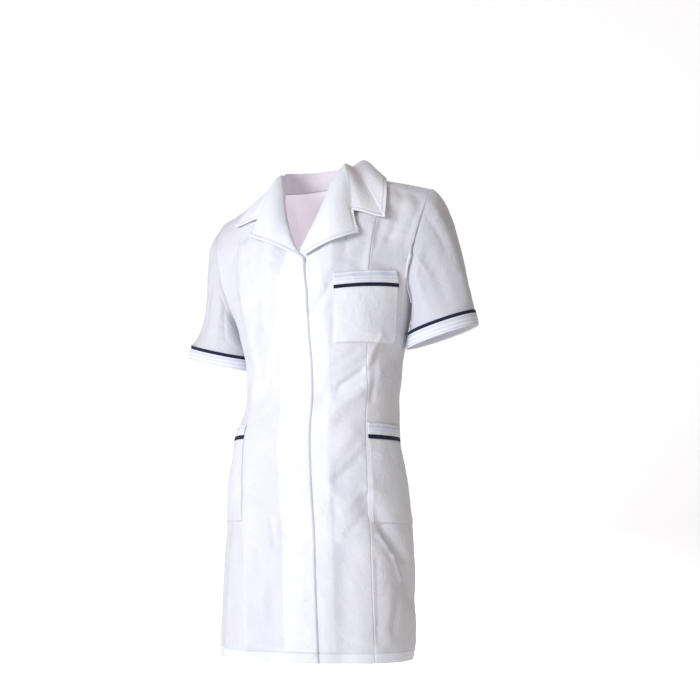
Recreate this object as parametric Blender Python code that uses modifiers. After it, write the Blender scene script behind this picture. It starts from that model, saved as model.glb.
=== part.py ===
"""Short-sleeved work smock: a white tunic dress in its worn, hollow form, in metres, +Z up.

The front faces -Y and the wearer's left is +X. The origin lies between the shoulders, at the
height of the side neck, where the wearer carries the garment. A place on the body's cloth has two
numbers: its column, 0 at centre front, 1 at the front princess seam, 2 at the side seam, 3 at the
back princess seam and 4 at centre back, and its row, 0 at the hem, 1 at chest level and 2 at the
neck, shoulder or armhole edge.
"""
from collections import namedtuple
from functools import partial

import bpy
import numpy as np

# Cloth
WALL = 0.0012            # wall of one piece of cloth
COLLAR_WALL = 0.0016     # collar and lapels are two plies
BRAID_WALL = 0.0010      # woven braid
GAP = 0.0003             # air at a seam
BED = 0.0010             # more air under a flat piece that lies on a curved panel
BLUR = 0.004             # reach over which the body's samples are averaged
SAMPLES = 7              # samples of a panel's face each way
SAMPLE_ROW = 10          # first row of the panels that is sampled
LAY_PASSES = 8           # smoothing of a sheet that lies on the body

# Heights
HEM = -0.895
CHEST = -0.245
SIDE_DIP = 0.062         # the chest row runs this much lower at the side seam
LEVEL_ROWS = 0.65        # rows below this one are level all round

# Front overlap
OVERLAP = 0.15           # columns past centre front
UNDERLAP = 0.7           # the left front reaches this share of the overlap
LAP_LIFT = 0.0030        # the right front lies this far over the left
LAP_FLAT = 0.22          # the lift is full up to this column
LAP_END = 0.60           # and gone at this one

# Squareness of a body ring, 2 is an ellipse
SQUARENESS = 2.3

Ring = namedtuple("Ring", "height half_width front back front_seam back_seam")
RINGS = (
    Ring(-0.900, 0.183, 0.136, 0.128, 38, 142),
    Ring(-0.770, 0.181, 0.133, 0.130, 38, 142),
    Ring(-0.670, 0.176, 0.129, 0.130, 39, 141),
    Ring(-0.590, 0.169, 0.124, 0.126, 41, 140),
    Ring(-0.500, 0.158, 0.117, 0.112, 44, 140),
    Ring(-0.410, 0.146, 0.112, 0.090, 46, 140),
    Ring(-0.350, 0.149, 0.121, 0.088, 46, 140),
    Ring(-0.300, 0.157, 0.134, 0.093, 45, 141),
    Ring(-0.245, 0.168, 0.142, 0.100, 43, 142),
    Ring(-0.200, 0.172, 0.143, 0.103, 43, 142),
)

# How the worn body is turned, swayed and tilted at each height
Stance = namedtuple("Stance", "height turn sway tilt")
STANCES = (
    Stance(-0.900, 15.0, -0.018, -0.015),
    Stance(-0.770, 12.0, -0.016, -0.015),
    Stance(-0.660, 9.5, -0.014, -0.015),
    Stance(-0.560, 7.0, -0.016, -0.018),
    Stance(-0.480, 4.5, -0.014, -0.018),
    Stance(-0.410, 1.5, -0.003, 0.010),
    Stance(-0.330, 0.0, 0.001, 0.045),
    Stance(-0.200, 0.0, 0.000, 0.055),
    Stance(0.000, 0.0, 0.000, 0.055),
    Stance(0.080, 0.0, 0.000, 0.055),
)

# Neck, shoulder and armhole edges of the left half, and the columns where each one ends
ROLL_LINE = ((-0.013, -0.1395, -0.176), (0.004, -0.136, -0.157), (0.020, -0.127, -0.124),
             (0.038, -0.107, -0.078), (0.054, -0.082, -0.034), (0.062, -0.056, 0.000))
FRONT_NECK = ((0.062, -0.056, 0.000), (0.072, -0.026, 0.003), (0.082, 0.006, -0.003))
SHOULDER = ((0.082, 0.006, -0.003), (0.145, 0.004, -0.020), (0.206, 0.000, -0.041))
FRONT_ARMHOLE = ((0.206, 0.000, -0.041), (0.206, -0.034, -0.075), (0.198, -0.055, -0.118),
                 (0.184, -0.060, -0.165), (0.173, -0.045, -0.215), (0.169, 0.000, -0.248))
BACK_ARMHOLE = ((0.169, 0.000, -0.248), (0.172, 0.042, -0.215), (0.180, 0.056, -0.165),
                (0.192, 0.050, -0.112), (0.203, 0.030, -0.072), (0.206, 0.000, -0.041))
BACK_NECK = ((0.082, 0.006, -0.003), (0.062, 0.044, 0.006), (0.000, 0.066, 0.012))
GORGE_COLUMN = 0.50
NECK_COLUMN = 0.66
TIP_COLUMN = 1.38

# Way the cloth runs as it reaches its top edge, for each column
Pull = namedtuple("Pull", "column x y z")
PULLS = (
    Pull(-0.20, 0.00, 0.10, 1.00),
    Pull(0.00, 0.00, 0.15, 1.00),
    Pull(0.30, 0.02, 0.55, 0.75),
    Pull(0.50, 0.04, 0.95, 0.45),
    Pull(0.66, 0.00, 1.15, 0.15),
    Pull(1.00, 0.02, 1.05, 0.15),
    Pull(1.38, 0.10, 0.70, 0.45),
    Pull(1.65, 0.12, 0.30, 0.90),
    Pull(2.00, 0.18, 0.00, 0.95),
    Pull(2.35, 0.12, -0.30, 0.90),
    Pull(2.62, 0.10, -0.70, 0.45),
    Pull(3.00, 0.02, -1.05, 0.15),
    Pull(3.34, 0.00, -0.95, 0.25),
    Pull(4.00, 0.00, -0.45, 0.90),
)

# Largest folds of the body. Angles run from centre front to the wearer's left, in degrees
Fold = namedtuple("Fold", "from_angle from_height to_angle to_height width depth")
FOLDS = (
    Fold(66, -0.090, 42, -0.190, 0.018, -0.0045),
    Fold(74, -0.125, 62, -0.200, 0.018, -0.0030),
    Fold(70, -0.335, 20, -0.420, 0.020, -0.0045),
    Fold(60, -0.375, 25, -0.455, 0.018, 0.0040),
    Fold(48, -0.600, 82, -0.780, 0.020, -0.0060),
    Fold(20, -0.560, 42, -0.480, 0.018, 0.0040),
    Fold(84, -0.520, 88, -0.860, 0.030, 0.0050),
    Fold(30, -0.700, 26, -0.890, 0.022, -0.0050),
    Fold(-12, -0.640, -26, -0.880, 0.026, -0.0045),
    Fold(-42, -0.620, -48, -0.890, 0.020, 0.0050),
    Fold(-24, -0.290, -42, -0.405, 0.018, -0.0055),
    Fold(-34, -0.270, -52, -0.390, 0.018, 0.0045),
    Fold(-60, -0.330, -38, -0.440, 0.018, -0.0040),
    Fold(-50, -0.130, -42, -0.300, 0.018, 0.0035),
    Fold(-62, -0.140, -54, -0.270, 0.018, -0.0035),
    Fold(-70, -0.620, -76, -0.880, 0.022, -0.0055),
    Fold(108, -0.360, 150, -0.430, 0.016, -0.0050),
    Fold(120, -0.410, 175, -0.465, 0.016, 0.0040),
    Fold(-112, -0.350, -155, -0.420, 0.016, -0.0050),
    Fold(-125, -0.400, -172, -0.450, 0.015, 0.0040),
    Fold(150, -0.100, 125, -0.230, 0.016, 0.0040),
    Fold(-150, -0.100, -125, -0.230, 0.016, 0.0040),
    Fold(115, -0.640, 122, -0.890, 0.026, -0.0055),
    Fold(158, -0.620, 164, -0.890, 0.028, 0.0050),
    Fold(-165, -0.640, -170, -0.890, 0.026, -0.0050),
    Fold(-125, -0.620, -120, -0.890, 0.026, 0.0050),
)
FOLD_RADIUS = 0.15       # turns an angle into a length along the cloth

# Collar drawn for the left half, from centre back to the gorge: roll line and outer edge. Worn
# so, its left leaf hangs lower than its right one.
Collar = namedtuple("Collar", "along roll_x roll_y roll_z edge_x edge_y edge_z")
COLLAR_BACK = (
    Collar(0.00, 0.000, 0.076, 0.053, 0.000, 0.110, -0.002),
    Collar(0.25, 0.046, 0.062, 0.050, 0.066, 0.094, -0.005),
    Collar(0.45, 0.073, 0.026, 0.042, 0.108, 0.046, -0.008),
    Collar(0.60, 0.077, -0.004, 0.033, 0.123, -0.008, -0.014),
)
COLLAR_LEFT = COLLAR_BACK + (
    Collar(0.72, 0.074, -0.025, 0.022, 0.139, -0.058, -0.056),
    Collar(0.82, 0.070, -0.040, 0.012, 0.1445, -0.0885, -0.111),
    Collar(1.00, 0.062, -0.056, 0.002, 0.092, -0.110, -0.098),
)
COLLAR_RIGHT = COLLAR_BACK + (
    Collar(0.72, 0.074, -0.025, 0.022, 0.137, -0.050, -0.044),
    Collar(0.82, 0.070, -0.040, 0.012, 0.149, -0.078, -0.080),
    Collar(1.00, 0.062, -0.056, 0.002, 0.084, -0.106, -0.081),
)
STAND_SHARE = 0.34       # part of the collar's rows that stand up to the roll line
COLLAR_LIFT = 0.0050     # the fall lies this far over the body
COLLAR_COLUMNS = 34
COLLAR_ROWS = 9
COLLAR_END = 0.990       # the collar stops this near the gorge

# Lapel corners in the front view, and the share of the roll line below the lapel's tip
LEFT_TIP = (0.104, -0.140)
LEFT_NOTCH = (0.092, -0.098)
RIGHT_TIP = (0.103, -0.113)
RIGHT_NOTCH = (0.084, -0.081)
TIP_SHARE = 0.74
UNDER_BED = 0.0050       # air under the left lapel, which lies on the flatter front
OVER_BED = 0.0043        # air under the right one
LAPEL_LIFT = 0.0016
LAPEL_START = 0.010      # the lapel has this much width at the break point
UNDER_LAPEL = 0.12       # the left lapel starts this far up the roll line
OVER_LAPEL = 0.05        # and the right one here
LAPEL_END = 0.985        # both stop short of the collar
LAPEL_ROWS = 14

# Sleeve: the ring at the cuff's top and at its bottom, front half 0 to 0.5, from the outer end
LEFT_CUFF_TILT = 13.0     # how far the cuff's outer end is tilted up, in degrees
RIGHT_CUFF_TILT = 18.0
CUFF_PITCH = 8.0          # how far the cuff's back is tilted up, in degrees
LEFT_CUFF_RISE = 0.007
RIGHT_CUFF_RISE = 0.003
LEFT_SLEEVE_LEAVE = (0.52, 0.0, -0.22)   # how the sleeve leaves the shoulder tip
RIGHT_SLEEVE_LEAVE = (0.49, 0.0, -0.27)  # the right one hangs closer and flares at the cuff
RIGHT_SLEEVE_FLARE = 1.1
CUFF_TOP = (0.2235, 0.012, -0.291)
CUFF_TOP_SIZE = (0.0625, 0.054)
CUFF_BOTTOM = (0.2245, 0.012, -0.320)
CUFF_BOTTOM_SIZE = (0.0675, 0.057)
CUFF_DEPTH = 0.023
CUFF_ZONE = 0.030
CUFF_BRAID = 0.0065
SLEEVE_ROWS = 8

# Sleeve folds: place round the sleeve, start and end down it, width, depth
Crease = namedtuple("Crease", "around from_down to_around to_down width depth")
CREASES = (
    Crease(0.10, 0.05, 0.06, 0.95, 0.035, 0.0045),
    Crease(0.22, 0.24, 0.17, 0.95, 0.035, -0.0040),
    Crease(0.33, 0.20, 0.27, 0.95, 0.030, 0.0035),
    Crease(0.92, 0.10, 0.95, 0.90, 0.035, -0.0035),
    Crease(0.78, 0.15, 0.82, 0.90, 0.040, 0.0040),
    Crease(0.65, 0.25, 0.70, 0.90, 0.035, -0.0030),
)

# Chest pocket on the wearer's left: left edge, and the angle of the right edge at top and bottom
POCKET_LEFT = 0.0730
POCKET_RIGHT_TOP = 66.0
POCKET_RIGHT_BOTTOM = 76.0
POCKET_TOP = -0.2085
POCKET_BOTTOM = -0.327
POCKET_RISE = 0.007      # the mouth's outer end is this much higher
POCKET_BAND = 0.020
POCKET_BRAID = 0.0060

# Hip pockets in the side fronts, between two rows of the panel
HIP_START = 1.03
HIP_END = 1.97
HIP_TOP_ROW = 12
HIP_BOTTOM_ROW = 7
HIP_BAND = 0.020
HIP_BRAID = 0.0075
HIP_BED = 0.0008         # these follow their panel's faces, so they lie closer

# Mesh density
FRONT_COLUMNS = 4        # from the overlap to the gorge
SHOULDER_COLUMNS = 3     # from a princess seam to the shoulder tip
ARMHOLE_COLUMNS = 8      # from the shoulder tip to the side seam
BACK_COLUMNS = 5
LOWER_ROWS = 18
UPPER_ROWS = 8
SEAM_SHARE = 0.0013      # half of GAP in columns, or in rows of the upper body

# Finishes: colour, roughness
WHITE = ((0.80, 0.81, 0.84, 1.0), 0.85)
NAVY = ((0.010, 0.013, 0.045, 1.0), 0.70)
STRIPED = ((0.70, 0.74, 0.82, 1.0), 0.80)


def smooth(rows, name, at):
    """One column of a table at the given places, on a smooth curve through the rows."""
    places = np.array([row[0] for row in rows])
    values = np.array([getattr(row, name) for row in rows], float)
    slopes = np.gradient(values, places)
    at = np.clip(at, places[0], places[-1])
    low = np.clip(np.searchsorted(places, at) - 1, 0, len(places) - 2)
    step = places[low + 1] - places[low]
    t = (at - places[low]) / step
    rise = t * t * (3 - 2 * t)
    ends = values[low] * (1 - rise) + values[low + 1] * rise
    lean = slopes[low] * t * (1 - t) ** 2 - slopes[low + 1] * t * t * (1 - t)
    return ends + lean * step


def ease(value, start, end):
    """Soft step from 0 at start to 1 at end."""
    t = np.clip((value - start) / (end - start), 0, 1)
    return t * t * (3 - 2 * t)


def hermite(start, end, leave, arrive, t):
    """Points on the cubic curve from start to end that leaves and arrives along two vectors."""
    t = t[..., None]
    rise = t * t * (3 - 2 * t)
    return start * (1 - rise) + end * rise + leave * t * (1 - t) ** 2 - arrive * t * t * (1 - t)


def curve(points, t):
    """Points at shares 0 to 1 of the length of a smooth curve through a few points."""
    points = np.array(points)
    lengths = np.linalg.norm(np.diff(points, axis=0), axis=1)
    knots = np.concatenate(([0], np.cumsum(lengths))) / lengths.sum()
    slopes = np.gradient(points, knots, axis=0)
    t = np.clip(t, 0, 1)
    low = np.clip(np.searchsorted(knots, t) - 1, 0, len(knots) - 2)
    step = (knots[low + 1] - knots[low])[..., None]
    share = (t - knots[low]) / step[..., 0]
    return hermite(points[low], points[low + 1], slopes[low] * step, slopes[low + 1] * step, share)


def unit(vectors):
    """Vectors at length 1."""
    return vectors / np.maximum(np.linalg.norm(vectors, axis=-1, keepdims=True), 1e-9)


def ring(column, height):
    """Point of the left half's body ring at a column and a height below the chest row."""
    front_seam = smooth(RINGS, "front_seam", height)
    back_seam = smooth(RINGS, "back_seam", height)
    angle = np.where(column < 1, column * front_seam, front_seam + (column - 1) * (90 - front_seam))
    angle = np.where(column > 2, 90 + (column - 2) * (back_seam - 90), angle)
    angle = np.where(column > 3, back_seam + (column - 3) * (180 - back_seam), angle)
    sine = np.sin(np.radians(angle))
    cosine = np.cos(np.radians(angle))
    full = (abs(sine) ** SQUARENESS + abs(cosine) ** SQUARENESS) ** (-1 / SQUARENESS)
    depth = np.where(cosine > 0, smooth(RINGS, "front", height), smooth(RINGS, "back", height))
    half_width = smooth(RINGS, "half_width", height)
    return np.stack([half_width * sine * full, -depth * cosine * full, height], axis=-1)


def top_edge(column):
    """Point of the left half's neck, shoulder or armhole edge at a column."""
    stretches = (
        (-OVERLAP, GORGE_COLUMN, ROLL_LINE),
        (GORGE_COLUMN, NECK_COLUMN, FRONT_NECK),
        (NECK_COLUMN, TIP_COLUMN, SHOULDER),
        (TIP_COLUMN, 2.0, FRONT_ARMHOLE),
        (2.0, 4 - TIP_COLUMN, BACK_ARMHOLE),
        (4 - TIP_COLUMN, 4 - NECK_COLUMN, SHOULDER[::-1]),
        (4 - NECK_COLUMN, 4.0, BACK_NECK),
    )
    points = np.zeros(column.shape + (3,))
    for start, end, edge in stretches:
        inside = (column >= start) & (column <= end)
        points[inside] = curve(edge, (column[inside] - start) / (end - start))
    return points


def row_height(column, row):
    """Height of a row up to the chest; the upper ones dip towards the side seam."""
    dip = SIDE_DIP * ease(1 - abs(column - 2), 0, 1)
    return HEM + (CHEST - HEM) * row - dip * ease(row, LEVEL_ROWS, 1)


def plain_body(column, row):
    """Body cloth of the left half without folds: rings below the chest, drawn curves above."""
    chest = row_height(column, 1.0)
    low = ring(column, row_height(column, np.clip(row, 0, 1)))
    start = ring(column, chest)
    rise = (ring(column, chest + 0.002) - ring(column, chest - 0.002)) / 0.004
    end = top_edge(column)
    length = np.linalg.norm(end - start, axis=-1)[..., None]
    pull = unit(np.stack([smooth(PULLS, axis, column) for axis in "xyz"], axis=-1))
    high = hermite(start, end, rise * length, pull * length * 1.15, np.clip(row - 1, 0, 1))
    return np.where((row > 1)[..., None], high, low)


def body_normal(column, row):
    """Outward direction of the left half's cloth."""
    step = 0.004
    across = plain_body(np.minimum(column + step, 4), row)
    across -= plain_body(np.maximum(column - step, -OVERLAP), row)
    up = plain_body(column, np.minimum(row + step, 2)) - plain_body(column, np.maximum(row - step, 0))
    return unit(np.cross(across, up))


def folds(points):
    """How far the folds move each point of the body out, or in where negative."""
    around = np.degrees(np.arctan2(points[..., 0], -points[..., 1]))
    total = np.zeros(around.shape)
    for fold in FOLDS:
        run = np.array([np.radians(fold.to_angle - fold.from_angle) * FOLD_RADIUS,
                        fold.to_height - fold.from_height])
        turn = (around - fold.from_angle + 180) % 360 - 180
        offset_across = np.radians(turn) * FOLD_RADIUS
        offset_up = points[..., 2] - fold.from_height
        share = np.clip((offset_across * run[0] + offset_up * run[1]) / (run @ run), 0, 1)
        away = np.hypot(offset_across - share * run[0], offset_up - share * run[1])
        total += fold.depth * np.exp(-(away / fold.width) ** 2)
    return total


def body(column, row, side, lift=0.0):
    """Folded body cloth of one half, moved out by lift; side is 1 on the wearer's left."""
    column, row = np.broadcast_arrays(np.asarray(column, float), np.asarray(row, float))
    mirror = np.array([side, 1, 1])
    points = plain_body(column, row) * mirror
    normals = body_normal(column, row) * mirror
    edge = ease(2 - row, 0, 0.3)
    return points + normals * (folds(points) * edge + lift)[..., None], normals


def dense_body(panels):
    """Close samples of the panels' faces above the waist and their outward directions."""
    share = (np.arange(SAMPLES) + 0.5) / SAMPLES
    across, up = [axis[..., None, None, None] for axis in np.meshgrid(share, share)]
    points = []
    normals = []
    for grid, side in panels:
        low = grid[SAMPLE_ROW:-1, :-1] * (1 - across) + grid[SAMPLE_ROW:-1, 1:] * across
        high = grid[SAMPLE_ROW + 1:, :-1] * (1 - across) + grid[SAMPLE_ROW + 1:, 1:] * across
        right = (grid[SAMPLE_ROW:-1, 1:] - grid[SAMPLE_ROW:-1, :-1]) * (1 - up)
        right = right + (grid[SAMPLE_ROW + 1:, 1:] - grid[SAMPLE_ROW + 1:, :-1]) * up
        points.append((low * (1 - up) + high * up).reshape(-1, 3))
        normals.append(unit(np.cross(right, high - low)).reshape(-1, 3) * side)
    return np.concatenate(points), np.concatenate(normals)


def cast(origins, direction, samples):
    """Points where lines from the origins meet the body, with the outward directions there."""
    points, normals = samples
    direction = unit(np.broadcast_to(direction, origins.shape))
    found = np.empty(origins.shape)
    facing = np.empty(origins.shape)
    for place in np.ndindex(origins.shape[:-1]):
        along = direction[place]
        front = normals @ along > 0.05
        offset = points[front] - origins[place]
        away = offset - np.outer(offset @ along, along)
        miss = (away ** 2).sum(axis=1)
        weight = np.exp((miss.min() - miss) / (2 * BLUR ** 2))
        reach = (offset * normals[front]).sum(axis=1) / (normals[front] @ along)
        found[place] = origins[place] + along * (weight @ reach) / weight.sum()
        facing[place] = unit(weight @ normals[front])
    return found, facing


def spread(values):
    """Mean of each grid value's four neighbours."""
    padded = np.pad(values, [(1, 1), (1, 1)] + [(0, 0)] * (values.ndim - 2), mode="edge")
    return (padded[:-2, 1:-1] + padded[2:, 1:-1] + padded[1:-1, :-2] + padded[1:-1, 2:]) / 4


def lay(points, lift, samples):
    """Grid of points moved out until it lies over the body by lift, as a smooth sheet."""
    shell, normals = samples
    needed = np.zeros(points.shape[:-1])
    facing = np.zeros(points.shape)
    for place in np.ndindex(points.shape[:-1]):
        offset = points[place] - shell
        away = (offset ** 2).sum(axis=1)
        weight = np.exp((away.min() - away) / (2 * BLUR ** 2))
        outside = weight @ (offset * normals).sum(axis=1) / weight.sum()
        needed[place] = max(lift[place] - outside, 0)
        facing[place] = unit(weight @ normals)
    moved = needed
    for _ in range(LAY_PASSES):
        moved = np.maximum(needed, spread(moved))
        facing = unit(facing + spread(facing))
    return points + facing * moved[..., None]


def stand(points):
    """Points in the stance of the worn garment: turned, swayed and tilted by height."""
    height = points[..., 2]
    turn = np.radians(smooth(STANCES, "turn", height))
    x = points[..., 0] * np.cos(turn) - points[..., 1] * np.sin(turn) + smooth(STANCES, "sway", height)
    y = points[..., 0] * np.sin(turn) + points[..., 1] * np.cos(turn)
    z = height + smooth(STANCES, "tilt", height) * points[..., 0]
    return np.stack([x, y, z], axis=-1)


def finish(name, colour, roughness):
    """A plain cloth material."""
    material = bpy.data.materials.new(name)
    material.use_nodes = True
    shader = material.node_tree.nodes["Principled BSDF"]
    shader.inputs["Base Color"].default_value = colour
    shader.inputs["Roughness"].default_value = roughness
    material.diffuse_color = colour
    return material


def cloth(name, points, wall, look, outward=True, wrap=False, flip=False):
    """One sewn piece: a grid of points as an open surface with a wall from Solidify."""
    rows, columns = points.shape[:2]
    numbers = np.arange(rows * columns).reshape(rows, columns)
    if wrap:
        numbers = np.hstack([numbers, numbers[:, :1]])
    corners = [numbers[:-1, :-1], numbers[:-1, 1:], numbers[1:, 1:], numbers[1:, :-1]]
    faces = np.stack(corners, axis=-1).reshape(-1, 4)
    if flip:
        faces = faces[:, ::-1]
    mesh = bpy.data.meshes.new(name)
    mesh.from_pydata(stand(points).reshape(-1, 3).tolist(), [], faces.tolist())
    mesh.shade_smooth()
    mesh.materials.append(finish(name, *look))
    piece = bpy.data.objects.new(name, mesh)
    solid = piece.modifiers.new("Wall", "SOLIDIFY")
    solid.thickness = wall
    solid.offset = 1 if outward else -1
    garment.objects.link(piece)
    return piece


def side_columns():
    """Columns of a side front, from the princess seam past the shoulder tip to the side seam."""
    shoulder = np.linspace(1, TIP_COLUMN, SHOULDER_COLUMNS + 1)
    below = np.linspace(TIP_COLUMN, 2, ARMHOLE_COLUMNS + 1)[1:]
    return np.concatenate([shoulder, below])


def panel_rows():
    """Rows of a body panel, a little short of the neck, shoulder and armhole seams."""
    upper = np.linspace(1, 2, UPPER_ROWS + 1)[1:]
    upper[-1] -= SEAM_SHARE
    return np.concatenate([np.linspace(0, 1, LOWER_ROWS + 1), upper])


def panel(columns, side, lift=0.0):
    """Grid of a body panel over its columns, which stop half a gap short of each seam."""
    columns = np.clip(columns, columns[0] + SEAM_SHARE, columns[-1] - SEAM_SHARE)
    return body(*np.meshgrid(columns, panel_rows()), side, lift)[0]


def front_columns(start):
    """Columns of a front, from its overlap past the gorge and the neck to the princess seam."""
    lapel = np.linspace(start, GORGE_COLUMN, FRONT_COLUMNS + 1)
    return np.concatenate([lapel, [NECK_COLUMN, (NECK_COLUMN + 1) / 2, 1]])


def make_body():
    """The seven body panels; returns the grid and the side of each."""
    over = front_columns(-OVERLAP)
    lap = LAP_LIFT * (1 - ease(over, LAP_FLAT, LAP_END))
    panels = [(panel(front_columns(-OVERLAP * UNDERLAP), 1), 1), (panel(over, -1, lap), -1)]
    cloth("front_left", panels[0][0], WALL, WHITE)
    cloth("front_right", panels[1][0], WALL, WHITE, flip=True)
    for word, side in (("left", 1), ("right", -1)):
        front = panel(side_columns(), side)
        back = panel(4 - side_columns()[::-1], side)
        cloth(f"side_front_{word}", front, WALL, WHITE, flip=side < 0)
        cloth(f"side_back_{word}", back, WALL, WHITE, flip=side < 0)
        panels += [(front, side), (back, side)]
    columns = np.linspace(3, 4 + SEAM_SHARE, BACK_COLUMNS + 1)
    left = panel(columns, 1)
    right = panel(columns, -1)
    cloth("back", np.concatenate([left, right[:, -2::-1]], axis=1), WALL, WHITE)
    return panels + [(left, 1), (right, -1)]


def armhole(around):
    """Armhole edge of the left half, from the shoulder tip down the front and up the back."""
    column = np.where(around <= 0.5, TIP_COLUMN + (2 - TIP_COLUMN) * around * 2,
                      2 + (2 - TIP_COLUMN) * (around - 0.5) * 2)
    row = np.full(column.shape, 2.0)
    return top_edge(column), body_normal(column, row)


def cuff_ring(centre, size, around, side):
    """Oval at the cuff, from its outer end round the front, tilted out and forward."""
    angle = 2 * np.pi * around
    tilt = np.radians(LEFT_CUFF_TILT if side > 0 else RIGHT_CUFF_TILT)
    out = np.cos(angle) * size[0]
    front = -np.sin(angle) * size[1]
    rise = LEFT_CUFF_RISE if side > 0 else RIGHT_CUFF_RISE
    height = out * np.sin(tilt) + front * np.tan(np.radians(CUFF_PITCH)) + rise
    offset = np.stack([out * np.cos(tilt), front, height], axis=-1)
    return np.array(centre) + offset


def sleeve_point(around, down, side):
    """Sleeve cloth drawn on the left: down is 0 at the armhole, 1 at the cuff's top, 2 at its hem."""
    start, normals = armhole(around)
    wave = np.cos(2 * np.pi * around)[..., None]
    swing = np.sin(2 * np.pi * around)[..., None]
    above = np.array(LEFT_SLEEVE_LEAVE if side > 0 else RIGHT_SLEEVE_LEAVE)
    below = np.array([0.55, 0.0, -0.45])
    beside = np.array([0.30, 0.0, -0.70])
    leave = above * np.clip(wave, 0, 1) + below * np.clip(-wave, 0, 1) + beside * (1 - abs(wave))
    leave = leave + np.array([0.0, -0.22, 0.0]) * swing
    start = start + normals * WALL * 1.6 + unit(leave) * GAP * 4
    end = cuff_ring(CUFF_TOP, CUFF_TOP_SIZE, around, side)
    hem = cuff_ring(CUFF_BOTTOM, CUFF_BOTTOM_SIZE, around, side)
    length = np.linalg.norm(end - start, axis=-1)[..., None]
    arrive = unit(hem - end)
    if side < 0:
        arrive = arrive + np.array([RIGHT_SLEEVE_FLARE, 0.0, 0.0]) * np.clip(wave, 0, 1)
    high = hermite(start, end, leave * length * 1.05, arrive * length * 0.8, np.clip(down, 0, 1))
    low = end + (hem - end) * np.clip(down - 1, 0, 1)[..., None]
    points = np.where((down > 1)[..., None], low, high)
    depth = np.zeros(down.shape)
    for crease in CREASES:
        share = np.clip((down - crease.from_down) / (crease.to_down - crease.from_down), 0, 1)
        centre = crease.around + (crease.to_around - crease.around) * share
        away = (around - centre + 0.5) % 1 - 0.5
        ends = np.sin(np.pi * share) ** 0.7
        depth += crease.depth * ends * np.exp(-(away / crease.width) ** 2)
    axis = (np.array(CUFF_TOP) - (0.17, 0.0, -0.15)) * np.clip(down, 0, 1)[..., None] + (0.17, 0.0, -0.15)
    out = unit((points - axis) * np.array([1, 1, 0.2]))
    return points + out * depth[..., None]


def sleeve_grid(downs, side, lift=0.0):
    """Grid of sleeve points, moved out by lift."""
    around = np.arange(2 * ARMHOLE_COLUMNS) / (2 * ARMHOLE_COLUMNS)
    arounds, down = np.meshgrid(around, np.asarray(downs, float))
    points = sleeve_point(arounds, down, side)
    step = 0.004
    across = sleeve_point(arounds + step, down, side) - sleeve_point(arounds - step, down, side)
    along = sleeve_point(arounds, np.minimum(down + step, 2), side)
    along = along - sleeve_point(arounds, down - step, side)
    out = unit(np.cross(across, along))
    return (points + out * lift) * np.array([side, 1, 1])


def make_sleeves():
    """Sleeves, turn-back cuffs and their braids, on both arms."""
    band_top = 2 - CUFF_DEPTH / CUFF_ZONE
    braid_low = band_top - GAP / CUFF_ZONE
    braid_top = braid_low - CUFF_BRAID / CUFF_ZONE
    downs = list(np.linspace(0, 1, SLEEVE_ROWS + 1)) + [braid_top, band_top, 1.96]
    for word, side in (("left", 1), ("right", -1)):
        flip = side < 0
        sleeve = sleeve_grid(downs, side)
        cloth(f"sleeve_{word}", sleeve, WALL, WHITE, outward=False, wrap=True, flip=flip)
        band = sleeve_grid([band_top, 2], side, GAP)
        cloth(f"cuff_{word}", band, WALL, STRIPED, wrap=True, flip=flip)
        braid = sleeve_grid([braid_top, braid_low], side, GAP)
        cloth(f"cuff_braid_{word}", braid, BRAID_WALL, NAVY, wrap=True, flip=flip)


def lapel_grid(side, samples):
    """Lapel points: rows from the break point to the gorge, columns from roll line to edge."""
    start = UNDER_LAPEL if side > 0 else OVER_LAPEL
    along = np.sort(np.append(np.linspace(start, 1, LAPEL_ROWS), [TIP_SHARE, LAPEL_END]))
    mirror = np.array([side, 1, 1])
    roll = curve(ROLL_LINE, along) * mirror
    tip = np.array(LEFT_TIP if side > 0 else RIGHT_TIP)
    notch = np.array(LEFT_NOTCH if side > 0 else RIGHT_NOTCH)
    start = np.array([ROLL_LINE[0][0] + LAPEL_START, ROLL_LINE[0][2]])
    below = np.clip(along / TIP_SHARE, 0, 1)[:, None]
    above = np.clip((along - TIP_SHARE) / (1 - TIP_SHARE), 0, 1)[:, None]
    outline = start + (tip - start) * below + (notch - tip) * above
    origins = np.stack([outline[:, 0] * side, np.zeros(along.shape), outline[:, 1]], axis=-1)
    edge, facing = cast(origins, np.array([0, -1, 0]), samples)
    lift = WALL + GAP + (UNDER_BED if side > 0 else OVER_BED)
    edge = edge + facing * (lift + LAPEL_LIFT)
    forward = unit(np.array([0.25 * side, -1, 0.35]))
    roll = roll + forward * lift
    width = np.linalg.norm(edge - roll, axis=-1)[:, None]
    along, across = np.meshgrid(along, np.linspace(0, 1, COLLAR_ROWS), indexing="ij")
    leave = forward * width * 0.5 + (edge - roll) * 0.6
    points = hermite(roll[:, None], edge[:, None], leave[:, None], (edge - roll)[:, None], across)
    return lay(points, lift + LAPEL_LIFT * ease(across, 0, 0.2), samples)


def make_lapel(word, side, grid):
    """A lapel: the front turned back along the roll line, from the break point to the gorge."""
    cloth(f"lapel_{word}", grid[:-1], COLLAR_WALL, WHITE, flip=side < 0)


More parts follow.
